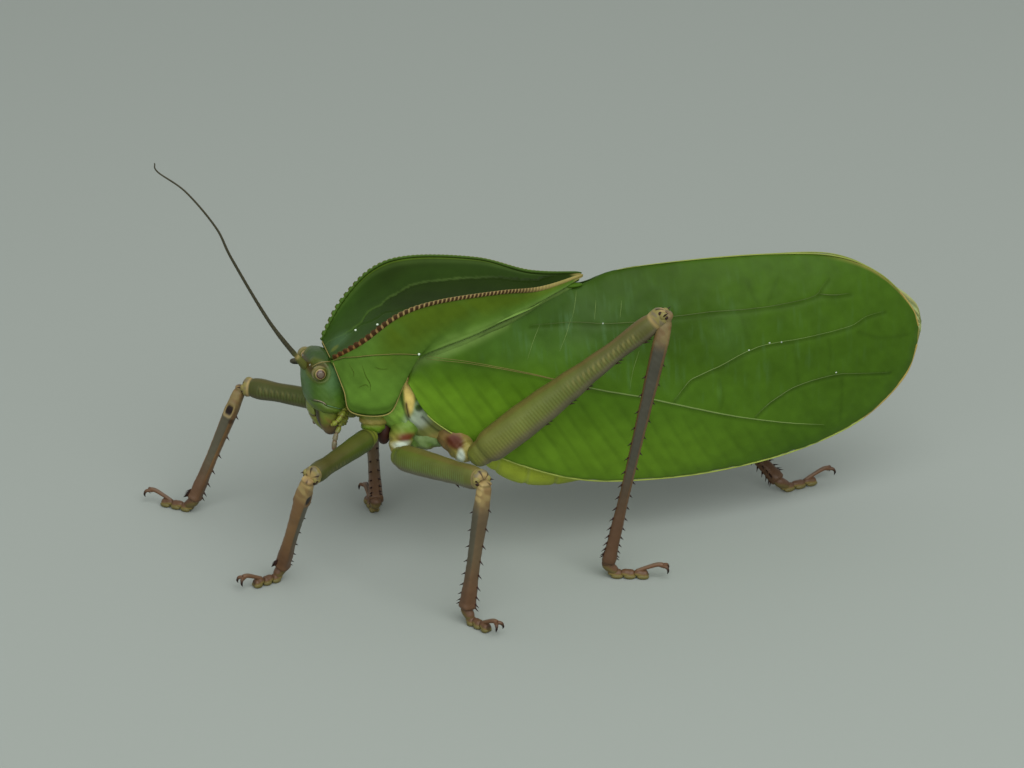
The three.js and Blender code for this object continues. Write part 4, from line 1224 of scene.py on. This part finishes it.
def build_wings():
    for name, side in SIDES.items():
        place = wing_place(WING_TOP, WING_FOOT, WING_BULGE, WING, side, WING_RIM)
        wing = Piece(f"wing_{name}").skin(place, GRIDS["wing"], paint_wing, raise_wing)
        vein_wing(wing, side)
        wing.set_down("wing_leaf", "leaf_wing", f"forewing_{name}")
        place = wing_place(FAN_TOP, FAN_FOOT, 0, FAN, side, FAN_RIM)
        fan = Piece(f"fan_{name}").skin(place, GRIDS["fan"], paint_fan, fan_relief)
        fan.set_down("fan_skin", "fan_wing", f"hindwing_{name}")


# ---- Legs ----
def leg_plane(root, knee, ankle):
    """The way square to the leg's own plane."""
    root, knee, ankle = np.array((root, knee, ankle), float)
    return unit(np.cross(knee - root, ankle - knee))


def shortened(start, end, first, last):
    start, end = np.array(start, float), np.array(end, float)
    way = unit(end - start)
    return start + way * first, end - way * last


def build_coxa(leg, kind, side):
    hip, root = LEGS[leg][:2]
    girth = GIRTH[kind][0]

    def paint(s, t, places, out):
        colour = Coat(s, "yellow", 0.75)
        colour.add(0.7 * ramp(s, 0.6, 0.2), "flank")
        if kind == "foreleg":
            colour.add(0.6 * ramp(s, 0.55, 0.62) * ramp(s, 0.74, 0.7), "tan", 0.5)
            return colour.add(0.7 * ramp(s, 0.74, 0.8), "leaf_bright")
        colour.add(0.6 * ramp(s, 0.45, 0.85), "tan", 0.6)
        outer, here = out[:, 1] * side > -0.2, side_on(places)
        if kind == "midleg":
            red = spot(here, (-0.6, 29.3), (1.8, 0.8), 0.6)
            white = spot(here, (-1.7, 27.9), (1.7, 0.8), 0.6)
            colour.add(0.8 * ramp(s, 0.7, 0.3), "flank")
        else:
            red = spot(here, (9.2, 27.9), (1.7, 1.4), 0.4)
            white = spot(here, (10.1, 25), (0.75, 1.7), 0.4)
            colour.add(0.8 * ramp(s, 0.8, 0.5), "amber", 1.4)
        colour.add(0.9 * red * outer, "blood", 0.65 if kind == "hindleg" else 1)
        return colour.add(white * outer, "pale", 1.2)

    def relief(s, t, places, out):
        return 0.14 * wobble(places, 1.3, 1) - 0.25 * bell(s, 0.74, 0.04)

    start, end = shortened(hip, root, 0, 0.2)
    shares = (1, 1.15, 1.15, 0.75) if kind == "foreleg" else (0.9, 1, 0.85, 0.55)
    radii = [share * girth for share in shares]
    place = tube(straight(start, end), radii, up=(1, 0, 0), ends=(0.1, 0.16))
    piece = Piece(f"{leg}_hip").skin(place, GRIDS["hip"], paint, relief)
    piece.set_down("body_skin", "hip", f"{leg}_coxa")


THIGH_MARK = 0.72
# Shares and strengths of a thigh's colours.
THIGH = {
    "foreleg": {"olive": 0.5, "keel": 0.15, "under": 0.3, "ribs": 0.15, "dots": 0.25},
    "midleg": {"olive": 1, "keel": 0.4, "under": 0.75, "ribs": 0.55},
    "hindleg": {"olive": 1, "keel": 0.4, "under": 0.6, "ribs": 0.15, "dots": 0.4},
}


def build_femur(leg, kind, side):
    root, knee, ankle = LEGS[leg][1:4]
    girth = GIRTH[kind][1]
    look = THIGH[kind]
    plane = leg_plane(root, knee, ankle)
    start, end = shortened(root, knee, 0, 0.4)
    way = unit(end - start)
    thigh = np.linalg.norm(end - start)
    up = unit(np.cross(plane, end - start))
    up = up if up[2] > 0 else -up
    marks = thigh / THIGH_MARK

    def paint(s, t, places, out):
        high = out @ up
        colour = Coat(s, "olive", look["olive"])
        if kind == "hindleg":
            colour.add(ramp(s, 0.3, 0.8), "olive", (0.8, 0.72, 0.9))
            colour.add(0.5 * ramp(s, 0.5, 0.1), "pad")
        colour.add(0.2 * ramp(s, 0.8, 0.2) * ramp(high, -0.6, 0.2), "leaf_bright")
        colour.add(look["keel"] * ramp(high, 0.7, 0.95), "amber")
        colour.add(look["under"] * ramp(-high, 0.1, 0.6), "lilac")
        ribs = 0.5 + 0.5 * np.cos(2 * np.pi * (s * marks + 0.4 * np.abs(high)))
        middle = bell(high, -0.15, 0.45) * ramp(s, 0.1, 0.25) * ramp(s, 0.9, 0.84)
        colour.add(look["ribs"] * ramp(ribs, 0.4, 0.9) * middle, "crease", (1.05, 1, 1.35))
        if kind != "midleg":
            dots = ramp(np.cos(2 * np.pi * (s * marks * 0.55 - high)), -0.2, 0.6)
            row = bell(high, 0.12, 0.2) * ramp(s, 0.45, 0.6) * ramp(s, 0.88, 0.84)
            colour.add(look["dots"] * dots * row, "pad", 1.2)
        colour.add(0.6 * ramp(s, 0.07, 0.02), "yellow", 0.8)
        if kind == "foreleg":
            colour.add(0.8 * ramp(s, 0.14, 0.11), "yellow", 0.95)
            rings = bell(s, 0.07, 0.008) + bell(s, 0.14, 0.01)
            colour.add(0.7 * rings, "olive", 0.4)
        ring = ramp(s, 0.925, 0.94)
        joint = Coat(s, "pad", 0.95).add(0.7 * ramp(wobble(places, 1.7, 2), -0.2, 0.3), "lilac")
        joint.add(bell(s, 0.94, 0.009) + ramp(s, 0.985, 0.992), "cream", 0.65)
        joint.add(0.9 * ramp(np.cos(2 * np.pi * 5 * t), 0.75, 0.9) * ramp(s, 0.97, 0.978), "horn")
        return colour.add(ring, joint)

    def relief(s, t, places, out):
        high = out @ up
        keel = 0.1 * ramp(np.abs(high), 0.92, 1)
        ribs = 0.03 * np.cos(2 * np.pi * (s * marks + 0.4 * np.abs(high))) * bell(high, -0.15, 0.5)
        knee_rim = 0.22 * bell(s, 0.965, 0.02) - 0.12 * bell(s, 0.93, 0.01)
        return keel + ribs * ramp(s, 0.92, 0.85) + knee_rim - 0.2 * bell(s, 0.07, 0.012)

    form = tube(straight(start, end), girth, 1.1, up, (0.03, 0.025), 2.3)
    piece = Piece(f"{leg}_thigh").skin(form, (int(thigh / THIGH_ROW), THIGH_COLUMNS), paint, relief)
    for share in SPINES[kind]:
        reach = along(girth, np.array([share]))[0] * 1.06
        for aside in (-0.45, 0.45):
            foot = start + (end - start) * (share + 0.01 * aside) - up * reach + plane * aside
            piece.cone(foot, foot - up * 0.7 + way * 1.0, 0.28, (hue("horn") * 2, hue("horn") * 0.5))
    for aside in (-1, 1):
        lobe = end + plane * aside * 1.25 - way * 0.7
        piece.ball(lobe.tolist(), (0.85, 0.6, 0.85), hue("pad"))
        for high, back in ((0.75, 0.9), (-0.6, 0.5)):
            mark = end + plane * aside * 1.3 + up * high - way * back
            piece.ball(mark.tolist(), (0.42, 0.42, 0.42), hue("horn") * 1.2, SMALL_BALL)
        foot, tip = lobe + plane * aside * 0.35, lobe + plane * aside * 0.7 + way * 1.4
        piece.cone(foot, tip, 0.28, (hue("horn") * 1.5, hue("horn") * 0.4))
    piece.set_down("leg_cuticle", "thigh", f"{leg}_femur")


EAR = 0.2
# Shares and strengths of a shin's colours, and where its pale top ends.
SHIN = {
    "foreleg": {
        "dark": 0.88, "grey": 0.4, "edge": 0.9, "rust": 1, "fade": 0.26, "top": 0.9, "cream": 0.8,
    },
    "midleg": {"dark": 0.8, "grey": 0.4, "edge": 0.35, "rust": 1, "fade": 0.26, "top": 0.9, "cream": 0.6},
    "hindleg": {
        "dark": 0.52, "grey": 0.85, "edge": 0.9, "rust": 0.85, "fade": 0.16, "top": 0.7, "cream": 0.45,
    },
}
FAR_SHIN_CREAM = 0.45


def build_tibia(leg, kind, side):
    root, knee, ankle = LEGS[leg][1:4]
    girth = GIRTH[kind][2]
    look = SHIN[kind]
    cream = FAR_SHIN_CREAM if leg == "foreleg_right" else look["cream"]
    plane = leg_plane(root, knee, ankle)
    start, end = shortened(knee, ankle, 0, 0.45)
    way = unit(end - start)
    behind = np.cross(way, plane)

    def paint(s, t, places, out):
        edge = np.abs(out @ behind)
        dark = look["dark"]
        colour = Coat(s, "shin", dark)
        colour.add(look["grey"] * ramp(s, 0.85, 0.5), "lilac", np.array((0.82, 0.98, 1)) * dark)
        colour.add(look["edge"] * ramp(edge, 0.5, 0.75), "amber", dark + 0.3)
        colour.add(0.9 * ramp(s, 0.55, 0.92), "rust", look["rust"])
        pale = Coat(s, "cream", cream)
        pale.add(0.6 * ramp(wobble(places, 0.9, 4), -0.3, 0.4), "amber", 1.1)
        if kind == "midleg":
            for ring in (0.03, 0.08, 0.13):
                pale.add(spot(stack(s, out @ behind), (ring, 0.2), (0.02, 0.5), 0.3), "cream", 0.9)
        colour.add(look["top"] * ramp(s, look["fade"], 0.09), pale)
        colour.add(0.8 * ramp(np.sin(2 * np.pi * 3 * t + 1), 0.8, 0.95) * ramp(s, 0.02, 0.012), "horn")
        if kind == "foreleg":
            for face in (-1, 1):
                here = stack(s, out @ plane * face)
                rim = ("cream", 0.6) if side > 0 else ("amber", 1)
                colour.add(0.8 * spot(here, (EAR, 1.0), (0.055, 0.2), 0.25), *rim)
                colour.add(spot(here, (EAR, 1.0), (0.038, 0.08), 0.3), "horn", 0.5)
            colour.add(0.7 * spot(stack(s, out @ behind), (0.28, -0.8), (0.02, 0.4), 0.3), "horn")
        return colour

    def relief(s, t, places, out):
        height = 0.03 * wobble(places, 1.5) - 0.2 * bell(s, 0.035, 0.012)
        height += 0.15 * bell(s, 0.975, 0.02)
        if kind == "foreleg":
            for face in (-1, 1):
                here = stack(s, out @ plane * face)
                height += 0.18 * spot(here, (EAR, 1.0), (0.07, 0.4), 0.3)
                height -= 0.3 * spot(here, (EAR, 1.0), (0.045, 0.13), 0.3)
        return height

    rows = int(np.linalg.norm(end - start) / SHIN_ROW)
    form = tube(straight(start, end), girth, 1.1, plane, (0.02, 0.012), 2.9)
    piece = Piece(f"{leg}_shin").skin(form, (rows, SHIN_COLUMNS), paint, relief)
    count = THORNS[kind]
    tall = size("thorn")
    for edge, first in ((behind, 0.2), (-behind, 0.26)):
        if kind == "foreleg" and edge is behind:
            first = 0.92
        for aside in (-0.7, 0.7):
            for i in range(count):
                share = first + (0.97 - first) * (1 - (1 - i / (count - 1)) ** 1.6) + 0.01 * aside
                face = unit(edge + plane * aside)
                if abs(face[1]) > 0.8:
                    continue
                reach = along(girth, np.array([share]))[0] * 1.08
                foot = start + (end - start) * share + face * reach
                tip = foot + unit(face + 0.8 * way) * tall * (0.8 + 0.35 * share)
                piece.cone(foot, tip, 0.24, (hue("horn") * 1.6, hue("horn") * 0.4), 5)
    piece.set_down("shin_cuticle", "shin", f"{leg}_tibia")


# Along a foot, 0 at its heel and 1 at its toe, and up in millimetres.
FOOT_JOINTS = (0.12, 0.33, 0.55)
FOOT_JOINT = ((-0.125, 1.2), (-0.03, 1.15), (0.05, 0.95), (0.125, 1.1))
FOOT_ARCH = ((0.46, 1.5), (0.62, 2.35), (0.82, 3.2), (0.93, 3.0))
CLAW = ((0.9, 3.0, 0.2), (0.97, 2.95, 0.65), (1.0, 2.3, 0.95), (0.985, 1.55, 1.0))


def build_tarsus(leg, kind, side):
    ankle, toe = (np.array(LEGS[leg][i], float) for i in (3, 4))
    heel = np.array([ankle[0], ankle[1], 0.0])
    long = np.linalg.norm(toe - heel)
    way = (toe - heel) / long
    across = np.array([-way[1], way[0], 0])

    def at(share, height, aside=0.0):
        place = heel + way * share * long + across * aside
        place[2] = height
        return place

    def paint_joint(s, t, places, out):
        colour = Coat(s, "tan", 0.34)
        colour.add(ramp(out[:, 2], -0.2, 0.55), "rust", 0.9)
        colour.add(ramp(-out[:, 2], 0.1, 0.7), "pad", 0.6)
        return colour.add(0.7 * ramp(s, 0.9, 1) + 0.5 * ramp(s, 0.1, 0.02), "horn")

    def paint_neck(s, t, places, out):
        return Coat(s, "rust", 0.9).add(0.7 * ramp(-out[:, 2] + 0.3, 0, 0.5), "pad", 0.6)

    def paint_arch(s, t, places, out):
        colour = Coat(s, "rust", 1.2)
        colour.add(0.45 * ramp(out[:, 2], 0.3, 0.9) * ramp(s, 0.9, 0.7), "lilac")
        return colour.add(0.6 * ramp(s, 0.85, 1), "horn")

    def paint_claw(s, t, places, out):
        return Coat(s, "rust").add(ramp(s, 0.2, 0.7), "horn", 0.5)

    foot = Piece(f"{leg}_foot")
    rise = unit(np.array(LEGS[leg][2]) - ankle)
    neck = spline([ankle + 1.1 * rise, ankle + 0.1 * rise, at(0.16, 1.1)])
    foot.draw(tube(neck, [1.1, 1.2, 0.95], ends=(0.1, 0.2)), GRIDS["foot_neck"], paint_neck, floor=True)
    for share in FOOT_JOINTS:
        body = spline([at(share + ahead, height) for ahead, height in FOOT_JOINT])
        form = tube(body, [0.6, 0.85, 1.0, 0.8], 0.95, ends=(0.15, 0.15))
        foot.draw(form, GRIDS["foot_joint"], paint_joint, floor=True)
        for aside in (-0.5, 0.5):
            pad = egg(at(share + 0.035, 0.55, aside), 0.1 * long * way, 0.62 * across, (0, 0, 0.6))
            foot.draw(pad, GRIDS["foot_pad"], plain("pad", 0.6), floor=True)
    arch = spline([at(share, height) for share, height in FOOT_ARCH])
    foot.draw(tube(arch, [0.42, 0.42, 0.48, 0.6], ends=(0.08, 0.12)), GRIDS["foot_arch"], paint_arch)
    for aside in (-1, 1):
        hook = spline([at(share, height, aside * apart) for share, height, apart in CLAW])
        form = tube(hook, [0.42, 0.36, 0.24, 0.06], ends=(0.1, 0.03))
        foot.draw(form, GRIDS["claw"], paint_claw, floor=True)
    foot.set_down("shin_cuticle", "foot", f"{leg}_tarsus")


def each_leg(build):
    for leg in LEGS:
        kind, name = leg.split("_")
        build(leg, kind, SIDES[name])


# ---- Stage ----
# Angles in degrees, lengths in millimetres. per_mm over across is what a millimetre takes of the width.
CAMERA = {
    "turn": -14, "rise": 24, "away": 620, "at": (24, 0, 34.5), "per_mm": 4.8, "across": 1024, "sensor": 36,
}
# In metres and watts: name, place, width, power.
LIGHTS = (("key", (0.12, -0.8, 1.0), 1.2, 17.0), ("fill", (-0.7, -0.8, 0.35), 0.8, 3.0))
LIT_PLACE = (0, 0, 0.03)
FLOOR_HALF = 6
SKY, SKY_STRENGTH = (0.98, 1, 0.98, 1), 0.62


def build_stage():
    scene = bpy.context.scene
    bm = bmesh.new()
    bmesh.ops.create_grid(bm, x_segments=1, y_segments=1, size=FLOOR_HALF)
    mesh = bpy.data.meshes.new("floor")
    bm.to_mesh(mesh)
    bm.free()
    floor = bpy.data.objects.new("floor", mesh)
    scene.collection.objects.link(floor)
    ground = bpy.data.materials.new("floor")
    ground.use_nodes = True
    shader = ground.node_tree.nodes["Principled BSDF"]
    shader.inputs["Base Color"].default_value = (*hue("floor"), 1)
    shader.inputs["Roughness"].default_value = 0.9
    mesh.materials.append(ground)
    for name, place, wide, watts in LIGHTS:
        lamp = bpy.data.lights.new(name, "AREA")
        lamp.size = wide
        lamp.energy = watts
        light = bpy.data.objects.new(name, lamp)
        light.location = place
        light.rotation_euler = (Vector(LIT_PLACE) - Vector(place)).to_track_quat("-Z", "Y").to_euler()
        scene.collection.objects.link(light)
    world = bpy.data.worlds.new("soft light")
    world.use_nodes = True
    sky = world.node_tree.nodes["Background"]
    sky.inputs["Color"].default_value = SKY
    sky.inputs["Strength"].default_value = SKY_STRENGTH
    scene.world = world
    scene.view_settings.view_transform = "Standard"
    turn, rise = math.radians(CAMERA["turn"]), math.radians(CAMERA["rise"])
    back = Vector((math.sin(turn) * math.cos(rise), -math.cos(turn) * math.cos(rise), math.sin(rise)))
    right = Vector((math.cos(turn), math.sin(turn), 0))
    lens = bpy.data.cameras.new("camera")
    lens.sensor_width = CAMERA["sensor"]
    lens.lens = CAMERA["per_mm"] * CAMERA["away"] / CAMERA["across"] * CAMERA["sensor"]
    lens.clip_start = 0.01
    camera = bpy.data.objects.new("camera", lens)
    camera.matrix_world = Matrix((right, back.cross(right), back)).transposed().to_4x4()
    camera.location = HOME + Vector(CAMERA["at"]) * MM + back * CAMERA["away"] * MM
    scene.collection.objects.link(camera)
    scene.camera = camera


# ---- Operators ----
class Build:
    """What every operator shares."""

    bl_options = {"REGISTER", "UNDO"}

    def execute(self, context):
        self.make()
        return {"FINISHED"}


class KATYDID_OT_hood(Build, bpy.types.Operator):
    """Builds the hood and its two beaded crests"""

    bl_idname = "katydid.hood"
    bl_label = "Hood"

    def make(self):
        build_hood()


class KATYDID_OT_head(Build, bpy.types.Operator):
    """Builds the head and the eyes"""

    bl_idname = "katydid.head"
    bl_label = "Head and eyes"

    def make(self):
        build_head()


class KATYDID_OT_mouth(Build, bpy.types.Operator):
    """Builds the lips, jaws and palps"""

    bl_idname = "katydid.mouth"
    bl_label = "Mouthparts"

    def make(self):
        build_mouth()


class KATYDID_OT_feelers(Build, bpy.types.Operator):
    """Builds the two antennae"""

    bl_idname = "katydid.feelers"
    bl_label = "Feelers"

    def make(self):
        build_feelers()


class KATYDID_OT_trunk(Build, bpy.types.Operator):
    """Builds the thorax and the abdomen"""

    bl_idname = "katydid.trunk"
    bl_label = "Thorax and abdomen"

    def make(self):
        build_trunk()


class KATYDID_OT_wings(Build, bpy.types.Operator):
    """Builds the leaf-like forewings and the folded hindwings"""

    bl_idname = "katydid.wings"
    bl_label = "Wings"

    def make(self):
        build_wings()


class KATYDID_OT_hips(Build, bpy.types.Operator):
    """Builds the six coxae"""

    bl_idname = "katydid.hips"
    bl_label = "Leg bases"

    def make(self):
        each_leg(build_coxa)


class KATYDID_OT_thighs(Build, bpy.types.Operator):
    """Builds the six femora"""

    bl_idname = "katydid.thighs"
    bl_label = "Thighs"

    def make(self):
        each_leg(build_femur)


class KATYDID_OT_shins(Build, bpy.types.Operator):
    """Builds the six tibiae and their thorns"""

    bl_idname = "katydid.shins"
    bl_label = "Shins"

    def make(self):
        each_leg(build_tibia)


class KATYDID_OT_feet(Build, bpy.types.Operator):
    """Builds the six padded and clawed feet"""

    bl_idname = "katydid.feet"
    bl_label = "Feet"

    def make(self):
        each_leg(build_tarsus)


class KATYDID_OT_stage(Build, bpy.types.Operator):
    """Builds the floor, the lights and the camera"""

    bl_idname = "katydid.stage"
    bl_label = "Stage"

    def make(self):
        build_stage()


OPERATORS = (
    KATYDID_OT_hood, KATYDID_OT_head, KATYDID_OT_mouth, KATYDID_OT_feelers, KATYDID_OT_trunk,
    KATYDID_OT_wings, KATYDID_OT_hips, KATYDID_OT_thighs, KATYDID_OT_shins, KATYDID_OT_feet,
    KATYDID_OT_stage,
)


class KATYDID_PT_panel(bpy.types.Panel):
    """Lists the model's sizes, colours and pieces"""

    bl_label = "Katydid"
    bl_idname = "KATYDID_PT_panel"
    bl_space_type = "VIEW_3D"
    bl_region_type = "UI"
    bl_category = "Katydid"

    def draw(self, context):
        for group in (context.scene.katydid_sizes, context.scene.katydid_colours):
            for name in group.__annotations__:
                self.layout.prop(group, name)
        for operator in OPERATORS:
            self.layout.operator(operator.bl_idname)


CLASSES = (KatydidColours, KatydidSizes, *OPERATORS, KATYDID_PT_panel)


def register():
    for item in CLASSES:
        bpy.utils.register_class(item)
    bpy.types.Scene.katydid_colours = bpy.props.PointerProperty(type=KatydidColours)
    bpy.types.Scene.katydid_sizes = bpy.props.PointerProperty(type=KatydidSizes)


def unregister():
    del bpy.types.Scene.katydid_sizes
    del bpy.types.Scene.katydid_colours
    for item in reversed(CLASSES):
        bpy.utils.unregister_class(item)


def main():
    register()
    for operator in OPERATORS:
        getattr(bpy.ops.katydid, operator.bl_idname.split(".")[1])()


if __name__ == "__main__":
    main()
